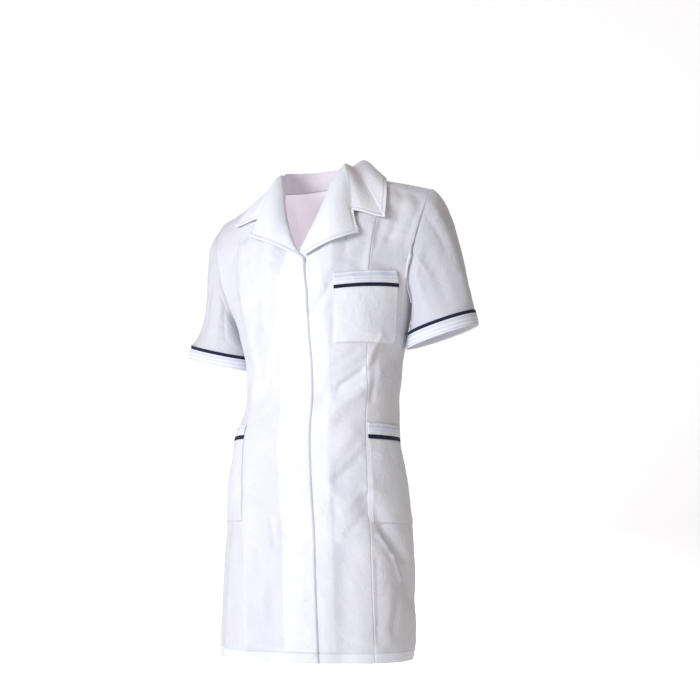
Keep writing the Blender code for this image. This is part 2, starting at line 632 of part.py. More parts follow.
def collar_half(along, down, side, gorge, samples):
    """Collar points of one half: down is 0 at the neck seam, 1 at the outer edge."""
    split = (1 + NECK_COLUMN - GORGE_COLUMN) / 2
    column = np.where(along < split, 4 - NECK_COLUMN * along / split,
                      NECK_COLUMN - (NECK_COLUMN - GORGE_COLUMN) * (along - split) / (1 - split))
    mirror = np.array([side, 1, 1])
    table = COLLAR_LEFT if side > 0 else COLLAR_RIGHT
    share = np.clip((down - STAND_SHARE) / (1 - STAND_SHARE), 0, 1)
    gorge = np.concatenate([gorge[[0] * (len(down) - len(gorge))], gorge])[:, None] * mirror
    near_gorge = ease(along, 0.82, 1)[..., None]
    seam = top_edge(column) + np.array([0, 0, GAP + WALL]) * (1 + near_gorge)
    roll = np.stack([smooth(table, f"roll_{axis}", along) for axis in "xyz"], axis=-1)
    roll = roll + (gorge[:1] - roll[:, -1:]) * near_gorge
    edge = np.stack([smooth(table[:-1], f"edge_{axis}", along) for axis in "xyz"], axis=-1)
    tip, notch = (np.array(row[4:]) for row in table[-2:])
    past = np.clip((along - 0.82) / 0.18, 0, 1)[..., None]
    edge = np.where(past > 0, tip + (notch - tip) * past, edge)
    outward = unit((edge - roll) * np.array([1, 1, 0]))
    height = np.linalg.norm(roll - seam, axis=-1)[..., None]
    upright = hermite(seam, roll, roll - seam, outward * height * 0.35,
                      np.clip(down / STAND_SHARE, 0, 1))
    leave = outward * height * 0.7 + (edge - roll) * 0.3
    falling = hermite(roll, edge, leave, (edge - roll) * 1.2, share)
    falling = (falling + (gorge - falling[:, -1:]) * near_gorge) * mirror
    lift = WALL + GAP + COLLAR_LIFT * (1 - 0.4 * near_gorge[..., 0])
    laid = lay(falling, lift * (down > STAND_SHARE), samples)
    falling = laid + (falling - laid) * ease(along, 0.94, 1)[..., None]
    return np.where((down > STAND_SHARE)[..., None], falling, upright * mirror)


def make_collar(samples, lapels):
    """The collar in one piece from gorge to gorge; each lapel's last row gives its gorge."""
    along = np.sort(np.append(np.linspace(0, 1, COLLAR_COLUMNS // 2 + 1), [0.82, COLLAR_END]))
    fall = np.linspace(STAND_SHARE, 1, COLLAR_ROWS)[1:]
    down = np.concatenate([np.linspace(0, STAND_SHARE, 4), fall])
    alongs, downs = np.meshgrid(along, down)
    left = collar_half(alongs, downs, 1, lapels[0][-1], samples)[:, :-1]
    right = collar_half(alongs, downs, -1, lapels[1][-1], samples)[:, :-1]
    cloth("collar", np.concatenate([right[:, :0:-1], left], axis=1), COLLAR_WALL, WHITE, flip=True)


def chest_patch(heights, lift, samples):
    """Grid of points on the chest, from the pocket's left edge to its right edge."""
    across, height = np.meshgrid(np.linspace(0, 1, 9), heights)
    down = (POCKET_TOP - height) / (POCKET_TOP - POCKET_BOTTOM)
    height = height + POCKET_RISE * across * (1 - down)
    left = np.degrees(np.arcsin(POCKET_LEFT / RINGS[-2].half_width))
    right = POCKET_RIGHT_TOP + (POCKET_RIGHT_BOTTOM - POCKET_RIGHT_TOP) * down
    angle = np.radians(left + (right - left) * across)
    direction = np.stack([np.sin(angle), -np.cos(angle), np.zeros(angle.shape)], axis=-1)
    origins = np.stack([np.zeros(angle.shape), np.zeros(angle.shape), height], axis=-1)
    points, normals = cast(origins, direction, samples)
    return points + normals * lift


def hip_patch(heights, lift, side):
    """Grid of points on a side front, with the panel's own columns between the pocket's ends."""
    columns = side_columns()
    panel_heights = HEM + (CHEST - HEM) * panel_rows()[:LOWER_ROWS]
    column, height = np.meshgrid(columns, panel_heights)
    grid = body(column, (height - HEM) / (CHEST - HEM), side, lift)[0]
    first = (HIP_START - columns[0]) / (columns[1] - columns[0])
    last = (HIP_END - columns[-2]) / (columns[-1] - columns[-2])
    grid[:, 0] += (grid[:, 1] - grid[:, 0]) * first
    grid[:, -1] = grid[:, -2] + (grid[:, -1] - grid[:, -2]) * last
    low = np.clip(np.searchsorted(panel_heights, heights) - 1, 0, LOWER_ROWS - 2)
    share = (np.array(heights) - panel_heights[low]) / (panel_heights[low + 1] - panel_heights[low])
    return grid[low] + (grid[low + 1] - grid[low]) * share[:, None, None]


def make_pocket(prefix, suffix, patch, levels, band, braid, bed, flip):
    """A patch pocket with a striped band at its mouth and a braid below the band."""
    first = WALL + GAP + bed
    second = first + WALL + GAP
    top = levels[-1]
    band_heights = [top - band, top - band / 2, top]
    braid_heights = [top - band - GAP - braid, top - band - GAP]
    below = [level for level in levels if level < braid_heights[0] - 0.004]
    cloth(f"{prefix}{suffix}", patch(below + braid_heights + band_heights, first), WALL, WHITE, flip=flip)
    cloth(f"{prefix}_band{suffix}", patch(band_heights, second), WALL, STRIPED, flip=flip)
    cloth(f"{prefix}_braid{suffix}", patch(braid_heights, second), BRAID_WALL, NAVY, flip=flip)


def make_pockets(samples):
    """The chest pocket and the two hip pockets."""
    levels = np.linspace(POCKET_BOTTOM, POCKET_TOP, 8).tolist()
    make_pocket("chest_pocket", "", partial(chest_patch, samples=samples), levels, POCKET_BAND,
                POCKET_BRAID, BED, False)
    rows = np.arange(HIP_BOTTOM_ROW, HIP_TOP_ROW + 1) / LOWER_ROWS
    levels = (HEM + (CHEST - HEM) * rows).tolist()
    for word, side in (("left", 1), ("right", -1)):
        make_pocket("hip_pocket", f"_{word}", partial(hip_patch, side=side), levels, HIP_BAND,
                    HIP_BRAID, HIP_BED, side < 0)


for old in list(bpy.data.objects):
    bpy.data.objects.remove(old)
garment = bpy.data.collections.new("work_smock")
bpy.context.scene.collection.children.link(garment)
body_samples = dense_body(make_body())
make_sleeves()
lapel_grids = [lapel_grid(side, body_samples) for side in (1, -1)]
make_collar(body_samples, lapel_grids)
make_lapel("left", 1, lapel_grids[0])
make_lapel("right", -1, lapel_grids[1])
make_pockets(body_samples)
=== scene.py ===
"""Looks of a short-sleeved work smock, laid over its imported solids.

The front faces -Y, +X is the wearer's left and +Z is up, in metres. A place on the body's cloth has
two numbers: its column, 0 at centre front, 1 at the front princess seam, 2 at the side seam, 3 at
the back princess seam and 4 at centre back, and its row, 0 at the hem, 1 at chest level and 2 at
the neck, shoulder or armhole edge. Every sewn piece is a grid of such points with a thin wall.
"""

import logging
from collections.abc import Callable
from dataclasses import dataclass, field
from enum import Enum
from functools import partial
from typing import NamedTuple

import bpy
import numpy as np
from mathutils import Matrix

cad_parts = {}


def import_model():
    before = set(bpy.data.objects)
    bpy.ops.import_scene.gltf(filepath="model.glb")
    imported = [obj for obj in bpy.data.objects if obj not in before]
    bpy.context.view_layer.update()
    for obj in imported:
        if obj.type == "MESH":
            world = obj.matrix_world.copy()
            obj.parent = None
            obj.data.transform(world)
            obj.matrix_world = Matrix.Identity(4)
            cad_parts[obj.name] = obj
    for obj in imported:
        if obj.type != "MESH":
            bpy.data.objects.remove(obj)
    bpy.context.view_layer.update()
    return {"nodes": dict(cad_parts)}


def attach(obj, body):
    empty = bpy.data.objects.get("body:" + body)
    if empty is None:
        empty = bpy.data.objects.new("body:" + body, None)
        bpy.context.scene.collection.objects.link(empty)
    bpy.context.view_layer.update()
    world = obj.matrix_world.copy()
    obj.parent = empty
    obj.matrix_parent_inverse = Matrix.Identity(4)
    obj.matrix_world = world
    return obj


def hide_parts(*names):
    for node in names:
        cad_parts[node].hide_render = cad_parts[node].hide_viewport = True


Array = np.ndarray
TwoArrays = tuple[Array, Array]
Pair = tuple[float, float]
Triple = tuple[float, float, float]
Colour = tuple[float, float, float, float]
Material = bpy.types.Material
Node = bpy.types.Node
Socket = bpy.types.NodeSocket
Tree = bpy.types.NodeTree
LOG = logging.getLogger("work_smock")

SIDES = (("left", 1), ("right", -1))
UNROLL_RADIUS = 0.15    # turns an angle round the body into a length along its cloth
SEAM_AIR = 0.0003       # between neighbouring pieces
TAPE_AIR = 0.0002       # between a band and its braid
PLY = 0.0004            # how far one more ply raises the cloth
CLOSE_STEPS = np.array([0.0005, 0.0010, 0.0016, 0.0024])    # grid lines beside a seam
LINE_STEP = 0.0008      # between the samples of a line that gaps are measured to
LAY_PASSES = 8          # how far a sheet's moves spread to their neighbours
TINY = 1e-9


class Ring(NamedTuple):
    """Body ring at a height: half width, depths in front and behind, and seam angles."""

    height: float
    half_width: float
    front: float
    back: float
    front_seam: float
    back_seam: float


class Stance(NamedTuple):
    """Turn in degrees, sway in metres and sideways tilt of the worn body at a height."""

    height: float
    turn: float
    sway: float
    tilt: float


class Pull(NamedTuple):
    """Way the cloth runs as it reaches its top edge at a column."""

    column: float
    x: float
    y: float
    z: float


class Fold(NamedTuple):
    """Ridge or trough between two places, given by angle round the body and height."""

    from_angle: float
    from_height: float
    to_angle: float
    to_height: float
    width: float
    depth: float


class CollarPlace(NamedTuple):
    """Roll line and outer edge of the collar at a share of the way to the gorge."""

    along: float
    roll_x: float
    roll_y: float
    roll_z: float
    edge_x: float
    edge_y: float
    edge_z: float


class Crease(NamedTuple):
    """Sleeve fold: place round the sleeve at its two ends, how far down, width and depth."""

    around: float
    from_down: float
    to_around: float
    to_down: float
    width: float
    depth: float


RINGS = tuple(Ring(*row) for row in (
    (-0.9, 0.183, 0.136, 0.128, 38, 142), (-0.77, 0.181, 0.133, 0.13, 38, 142),
    (-0.67, 0.176, 0.129, 0.13, 39, 141), (-0.59, 0.169, 0.124, 0.126, 41, 140),
    (-0.5, 0.158, 0.117, 0.112, 44, 140), (-0.41, 0.146, 0.112, 0.09, 46, 140),
    (-0.35, 0.149, 0.121, 0.088, 46, 140), (-0.3, 0.157, 0.134, 0.093, 45, 141),
    (-0.245, 0.168, 0.142, 0.1, 43, 142), (-0.2, 0.172, 0.143, 0.103, 43, 142),
))
STANCES = tuple(Stance(*row) for row in (
    (-0.9, 15.0, -0.018, -0.015), (-0.77, 12.0, -0.016, -0.015), (-0.66, 9.5, -0.014, -0.015),
    (-0.56, 7.0, -0.016, -0.018), (-0.48, 4.5, -0.014, -0.018), (-0.41, 1.5, -0.003, 0.01),
    (-0.33, 0.0, 0.001, 0.045), (-0.2, 0.0, 0.0, 0.055), (0.0, 0.0, 0.0, 0.055),
    (0.08, 0.0, 0.0, 0.055),
))
ROLL_LINE = ((-0.013, -0.1395, -0.176), (0.004, -0.136, -0.157), (0.020, -0.127, -0.124),
             (0.038, -0.107, -0.078), (0.054, -0.082, -0.034), (0.062, -0.056, 0.000))
FRONT_NECK = ((0.062, -0.056, 0.000), (0.072, -0.026, 0.003), (0.082, 0.006, -0.003))
SHOULDER = ((0.082, 0.006, -0.003), (0.145, 0.004, -0.020), (0.206, 0.000, -0.041))
FRONT_ARMHOLE = ((0.206, 0.000, -0.041), (0.206, -0.034, -0.075), (0.198, -0.055, -0.118),
                 (0.184, -0.060, -0.165), (0.173, -0.045, -0.215), (0.169, 0.000, -0.248))
BACK_ARMHOLE = ((0.169, 0.000, -0.248), (0.172, 0.042, -0.215), (0.180, 0.056, -0.165),
                (0.192, 0.050, -0.112), (0.203, 0.030, -0.072), (0.206, 0.000, -0.041))
BACK_NECK = ((0.082, 0.006, -0.003), (0.062, 0.044, 0.006), (0.000, 0.066, 0.012))
PULLS = tuple(Pull(*row) for row in (
    (-0.2, 0.0, 0.1, 1.0), (0.0, 0.0, 0.15, 1.0), (0.3, 0.02, 0.55, 0.75), (0.5, 0.04, 0.95, 0.45),
    (0.66, 0.0, 1.15, 0.15), (1.0, 0.02, 1.05, 0.15), (1.38, 0.1, 0.7, 0.45),
    (1.65, 0.12, 0.3, 0.9), (2.0, 0.18, 0.0, 0.95), (2.35, 0.12, -0.3, 0.9),
    (2.62, 0.1, -0.7, 0.45), (3.0, 0.02, -1.05, 0.15), (3.34, 0.0, -0.95, 0.25),
    (4.0, 0.0, -0.45, 0.9),
))


def folds_of(rows: tuple) -> tuple[Fold, ...]:
    """Folds from rows of two angles in degrees and lengths in millimetres."""
    return tuple(Fold(row[0], row[1] / 1000, row[2], *(part / 1000 for part in row[3:]))
                 for row in rows)


FOLDS = folds_of((
    (66, -90, 42, -190, 18, -4.5), (74, -125, 62, -200, 18, -3), (70, -335, 20, -420, 20, -4.5),
    (60, -375, 25, -455, 18, 4), (48, -600, 82, -780, 20, -6), (20, -560, 42, -480, 18, 4),
    (84, -520, 88, -860, 30, 5), (30, -700, 26, -890, 22, -5), (-12, -640, -26, -880, 26, -4.5),
    (-42, -620, -48, -890, 20, 5), (-24, -290, -42, -405, 18, -5.5),
    (-34, -270, -52, -390, 18, 4.5), (-60, -330, -38, -440, 18, -4),
    (-50, -130, -42, -300, 18, 3.5), (-62, -140, -54, -270, 18, -3.5),
    (-70, -620, -76, -880, 22, -5.5), (108, -360, 150, -430, 16, -5),
    (120, -410, 175, -465, 16, 4), (-112, -350, -155, -420, 16, -5),
    (-125, -400, -172, -450, 15, 4), (150, -100, 125, -230, 16, 4),
    (-150, -100, -125, -230, 16, 4), (115, -640, 122, -890, 26, -5.5),
    (158, -620, 164, -890, 28, 5), (-165, -640, -170, -890, 26, -5),
    (-125, -620, -120, -890, 26, 5),
))
# Smaller wrinkles that the solids are too coarse for
WRINKLES = folds_of((
    (75, -53, 61, -145, 7, -2.4), (61, -145, 55, -189, 9.8, -2), (74, -71, 66, -187, 9.8, 2),
    (80, -59, 71, -186, 5.6, -2.4), (79, -81, 72, -148, 7, 1.6), (52, -120, 47, -200, 5.6, 1.6),
    (61, -81, 50, -189, 7, -1.2), (23, -228, 12, -272, 5.6, -1.8), (25, -188, 15, -238, 7, 1.2),
    (25, -247, 16, -273, 5.6, 1.2), (26, -282, 25, -325, 4.2, -1.4),
    (60, -313, 52, -369, 5.6, 2.2), (48, -376, 31, -402, 5.6, -2.2),
    (49, -366, 29, -392, 5.6, 1.6), (48, -399, 30, -419, 5.6, -2.2), (47, -411, 30, -438, 7, 1.6),
    (43, -340, 30, -359, 7, -1.2), (17, -374, 8, -400, 5.6, -1), (60, -330, 57, -422, 7, -1.6),
    (-9, -308, -28, -367, 7, -2.6), (-3, -302, -18, -369, 8.4, 1.4),
    (-33, -315, -45, -373, 8.4, 1.2), (-11, -222, -6, -254, 7, -0.9),
    (-26, -156, -30, -289, 5.6, -1.6), (-20, -183, -25, -292, 7, 1),
    (-50, -123, -38, -204, 5.6, 1.4), (-38, -204, -31, -262, 5.6, 1.2),
    (-56, -127, -43, -211, 7, -1), (-29, -236, -35, -315, 7, -1.2),
    (-34, -408, -33, -466, 8.4, -0.8), (-12, -406, -21, -434, 7, -0.7),
    (49, -502, 30, -548, 5.6, 1.2), (45, -532, 27, -567, 7, -1.4), (50, -578, 31, -623, 7, 1.4),
    (47, -622, 33, -662, 7, -1.6), (54, -564, 51, -636, 5.6, 1), (25, -545, 24, -584, 7, 1),
    (25, -601, 23, -674, 7, -0.9), (-27, -639, -25, -684, 5.6, -1.4),
    (-16, -558, -4, -531, 5.6, -1), (-43, -680, -37, -694, 5.6, -1),
    (-20, -661, -1, -675, 5.6, -0.7), (54, -664, 64, -701, 4.2, 2.4),
    (64, -701, 69, -745, 4.2, 2.4), (58, -651, 75, -708, 8.4, -2.4), (69, -749, 59, -836, 7, -1.6),
    (59, -763, 56, -853, 8.4, 1.6), (51, -708, 49, -853, 4.2, -1.2),
    (-41, -869, -18, -857, 5.6, -2.4), (-19, -872, -40, -857, 8.4, 1),
    (-18, -857, -1, -843, 7, -1.4), (-5, -763, -10, -792, 7, -0.8),
    (27, -852, 45, -870, 5.6, -0.9), (-28, -711, -27, -820, 9.8, -0.9),
    (-45, -721, -44, -830, 5.6, 0.9), (-59, -603, -53, -713, 8.4, -1.2),
    (110, -380, 140, -410, 7, -1.8), (118, -400, 150, -436, 6, 1.6),
    (130, -350, 112, -395, 6, 1.4), (165, -110, 150, -190, 8, 1.6),
    (172, -150, 160, -230, 7, -1.4), (-150, -100, -135, -190, 7, -1.6),
    (-165, -340, -140, -400, 7, 1.8), (-150, -390, -118, -430, 6, -1.8),
    (-120, -360, -105, -400, 6, 1.4), (175, -420, 200, -455, 7, -1.4),
    (100, -600, 104, -760, 8, 1.4), (150, -680, 144, -860, 9, -1.6),
    (-100, -560, -96, -740, 9, -1.6), (-140, -660, -146, -880, 9, 1.4),
    (170, -800, 178, -870, 8, 1.2), (-96, -150, -104, -250, 6, -1.2),
))
# The left leaf of the collar hangs lower than the right one
COLLAR_BACK = (
    (0.0, 0.0, 0.076, 0.053, 0.0, 0.11, -0.002),
    (0.25, 0.046, 0.062, 0.05, 0.066, 0.094, -0.005),
    (0.45, 0.073, 0.026, 0.042, 0.108, 0.046, -0.008),
    (0.6, 0.077, -0.004, 0.033, 0.123, -0.008, -0.014),
)
COLLARS = {side: tuple(CollarPlace(*row) for row in COLLAR_BACK + leaf) for side, leaf in (
    (1, (
        (0.72, 0.074, -0.025, 0.022, 0.139, -0.058, -0.056),
        (0.82, 0.07, -0.04, 0.012, 0.1445, -0.0885, -0.111),
        (1.0, 0.062, -0.056, 0.002, 0.092, -0.11, -0.098),
    )),
    (-1, (
        (0.72, 0.074, -0.025, 0.022, 0.137, -0.05, -0.044),
        (0.82, 0.07, -0.04, 0.012, 0.149, -0.078, -0.08),
        (1.0, 0.062, -0.056, 0.002, 0.084, -0.106, -0.081),
    )),
)}
CREASES = tuple(Crease(*row) for row in (
    (0.1, 0.05, 0.06, 0.95, 0.035, 0.0045), (0.22, 0.24, 0.17, 0.95, 0.035, -0.004),
    (0.33, 0.2, 0.27, 0.95, 0.03, 0.0035), (0.92, 0.1, 0.95, 0.9, 0.035, -0.0035),
    (0.78, 0.15, 0.82, 0.9, 0.04, 0.004), (0.65, 0.25, 0.7, 0.9, 0.035, -0.003),
    (0.15, 0.04, 0.12, 0.5, 0.01, -0.0014), (0.28, 0.06, 0.22, 0.6, 0.01, 0.0014),
    (0.36, 0.1, 0.34, 0.8, 0.01, -0.0016), (0.86, 0.05, 0.88, 0.6, 0.01, 0.0014),
    (0.98, 0.02, 1.0, 0.4, 0.01, 0.0012),
))


def smooth(rows: tuple, name: str, at: Array) -> Array:
    """One column of a table on a smooth curve through its rows.

    Args:
        rows: table whose first column is the place.
        name: column to read.
        at: places to read it at.
    Returns:
        The values, by cubic pieces whose slopes are the table's own gradients.
    """
    places = np.array([row[0] for row in rows])
    values = np.array([getattr(row, name) for row in rows], float)
    slopes = np.gradient(values, places)
    at = np.clip(at, places[0], places[-1])
    low = np.clip(np.searchsorted(places, at) - 1, 0, len(places) - 2)
    step = places[low + 1] - places[low]
    t = (at - places[low]) / step
    rise = t * t * (3 - 2 * t)
    ends = values[low] * (1 - rise) + values[low + 1] * rise
    lean = slopes[low] * t * (1 - t) ** 2 - slopes[low + 1] * t * t * (1 - t)
    return ends + lean * step


def ease(value: Array, start: float, end: float) -> Array:
    """Soft step from 0 at start to 1 at end: 3t² - 2t³ of the share t between them."""
    t = np.clip((value - start) / (end - start), 0, 1)
    return t * t * (3 - 2 * t)


def bump(away: Array, width: float) -> Array:
    """1 on a line and less on both sides of it: exp(-(away / width)²)."""
    return np.exp(-(away / width) ** 2)


def hermite(start: Array, end: Array, leave: Array, arrive: Array, t: Array) -> Array:
    """Points at t on the cubic from start to end that leaves and arrives along two vectors.

    Args:
        start: the cubic's first points.
        end: its last points.
        leave: its slope at the start.
        arrive: its slope at the end.
        t: shares of the way, without the last axis.
    Returns:
        The points.
    """
    t = t[..., None]
    rise = t * t * (3 - 2 * t)
    return start * (1 - rise) + end * rise + leave * t * (1 - t) ** 2 - arrive * t * t * (1 - t)


def curve(points: tuple, t: Array) -> Array:
    """Points at shares t of the length of a smooth curve through a few points.

    Args:
        points: the few points, in order.
        t: shares of the length.
    Returns:
        The points, on cubic pieces whose slopes are the points' own gradients.
    """
    places = np.array(points)
    lengths = np.linalg.norm(np.diff(places, axis=0), axis=1)
    knots = np.concatenate(([0], np.cumsum(lengths))) / lengths.sum()
    slopes = np.gradient(places, knots, axis=0)
    t = np.clip(t, 0, 1)
    low = np.clip(np.searchsorted(knots, t) - 1, 0, len(knots) - 2)
    step = (knots[low + 1] - knots[low])[..., None]
    share = (t - knots[low]) / step[..., 0]
    return hermite(places[low], places[low + 1], slopes[low] * step, slopes[low + 1] * step, share)


def unit(vectors: Array) -> Array:
    """Vectors at length 1."""
    return vectors / np.maximum(np.linalg.norm(vectors, axis=-1, keepdims=True), TINY)


def spread(values: Array) -> Array:
    """Mean of each grid value's four neighbours."""
    padded = np.pad(values, [(1, 1), (1, 1)] + [(0, 0)] * (values.ndim - 2), mode="edge")
    return (padded[:-2, 1:-1] + padded[2:, 1:-1] + padded[1:-1, :-2] + padded[1:-1, 2:]) / 4


def blends(places: Array, count: int) -> Array:
    """Weights that read a row of values at fractional places on a smooth curve near them.

    They are the cubic B-spline's, and past either end the row goes on in a straight line.

    Args:
        places: fractional places, from 0 to count - 1.
        count: how many values the row has.
    Returns:
        One row of weights for each place.
    """
    low = np.clip(places.astype(int), 0, count - 2)
    t = places - low
    parts = ((1 - t) ** 3, 3 * t ** 3 - 6 * t ** 2 + 4,
             -3 * t ** 3 + 3 * t ** 2 + 3 * t + 1, t ** 3)
    weights = np.zeros((len(places), count + 2))
    for k, part in enumerate(parts):
        weights[np.arange(len(places)), low + k] = part / 6
    weights[:, 1] += 2 * weights[:, 0]
    weights[:, 2] -= weights[:, 0]
    weights[:, -2] += 2 * weights[:, -1]
    weights[:, -3] -= weights[:, -1]
    return weights[:, 1:-1]


def resample(grid: Array, rows: Array, columns: Array) -> Array:
    """A grid read at fractional rows and columns, on a smooth sheet near its values."""
    across = blends(columns, grid.shape[1])
    return np.einsum("rn,nmk,cm->rck", blends(rows, grid.shape[0]), grid, across)


def resample_in_two(grid: Array, split: int, rows: Array, columns: Array) -> Array:
    """A grid read like resample, in two parts that meet at one row, so that a kink there stays.

    Args:
        grid: the values, rows × columns × 3.
        split: the row where the parts meet.
        rows: fractional rows, rising.
        columns: fractional columns.
    Returns:
        The values read.
    """
    before = resample(grid[:split + 1], rows[rows <= split], columns)
    after = resample(grid[split:], rows[rows > split] - split, columns)
    return np.concatenate([before, after])


def quad_corners(values: Array) -> Array:
    """Values at the four corners of each quad of a grid, in order round it."""
    corners = (values[:-1, :-1], values[:-1, 1:], values[1:, 1:], values[1:, :-1])
    return np.stack(corners, axis=2)


def grid_normals(points: Array) -> Array:
    """Outward directions of a grid: the cross product of its steps across and up."""
    return unit(np.cross(np.gradient(points, axis=1), np.gradient(points, axis=0)))


def arcs(points: Array, axis: int) -> Array:
    """Length along the cloth from the grid's first row or column to each point.

    Args:
        points: rows × columns × 3.
        axis: 0 to measure down the columns, 1 along the rows.
    Returns:
        The running sum of the steps' lengths, in metres.
    """
    steps = np.linalg.norm(np.diff(points, axis=axis), axis=-1)
    lengths = np.cumsum(steps, axis=axis)
    first = np.zeros_like(lengths[:1] if axis == 0 else lengths[:, :1])
    return np.concatenate([first, lengths], axis=axis)


def square_distances(points: Array, samples: Array) -> Array:
    """Square of the distance from each point, by row, to each sample, by column."""
    return (points ** 2).sum(1)[:, None] + (samples ** 2).sum(1) - 2 * points @ samples.T


def gap_to(points: Array, line: Array) -> TwoArrays:
    """Distance from each point to a drawn line, and the run along the line to the nearest place.

    Args:
        points: any shape × 3.
        line: the line's points, in order.
    Returns:
        The gap and the run, both in metres.
    """
    run = arcs(line[None], 1)[0]
    dense = np.linspace(0, run[-1], int(run[-1] / LINE_STEP) + 2)
    samples = np.stack([np.interp(dense, run, line[:, axis]) for axis in range(3)], axis=-1)
    flat = points.reshape(-1, 3)
    nearest = square_distances(flat, samples).argmin(axis=1)
    gap = np.linalg.norm(flat - samples[nearest], axis=1)
    return gap.reshape(points.shape[:-1]), dense[nearest].reshape(points.shape[:-1])


class Waves:
    """Small uneven waves of worn cloth: sines of many directions, each bent by another one."""

    BEND_PITCH = 0.6
    BEND = 1.2
    GAIN = 1.6

    def __init__(self, seed: int, shortest: float, longest: float, count: int = 14) -> None:
        """Draws the waves from a seeded table.

        Args:
            seed: makes the same waves each time.
            shortest: shortest wave, in metres.
            longest: longest wave, in metres.
            count: how many waves are summed.
        """
        draw = np.random.default_rng(seed)
        lengths = np.geomspace(shortest, longest, count)
        angles = draw.uniform(0, np.pi, count)
        self.directions = np.stack([np.cos(angles), np.sin(angles)]) * 2 * np.pi / lengths
        self.phases = draw.uniform(0, 2 * np.pi, (2, count))
        self.weights = lengths / lengths.sum()

    def __call__(self, across: Array, up: Array) -> Array:
        """Height of the waves, about -1 to 1, at distances across and up the cloth.

        Args:
            across: metres across.
            up: metres up.
        Returns:
            The weighted sum of sine(turn + bend × sine(other turn)) over the waves.
        """
        total = np.zeros(np.broadcast(across, up).shape)
        for k, weight in enumerate(self.weights):
            turn = across * self.directions[0, k] + up * self.directions[1, k]
            bend = (across * self.directions[1, k] * self.BEND_PITCH
                    - up * self.directions[0, k] * self.BEND_PITCH)
            bent = self.BEND * np.sin(bend + self.phases[1, k])
            total += weight * np.sin(turn + self.phases[0, k] + bent)
        return total * self.GAIN


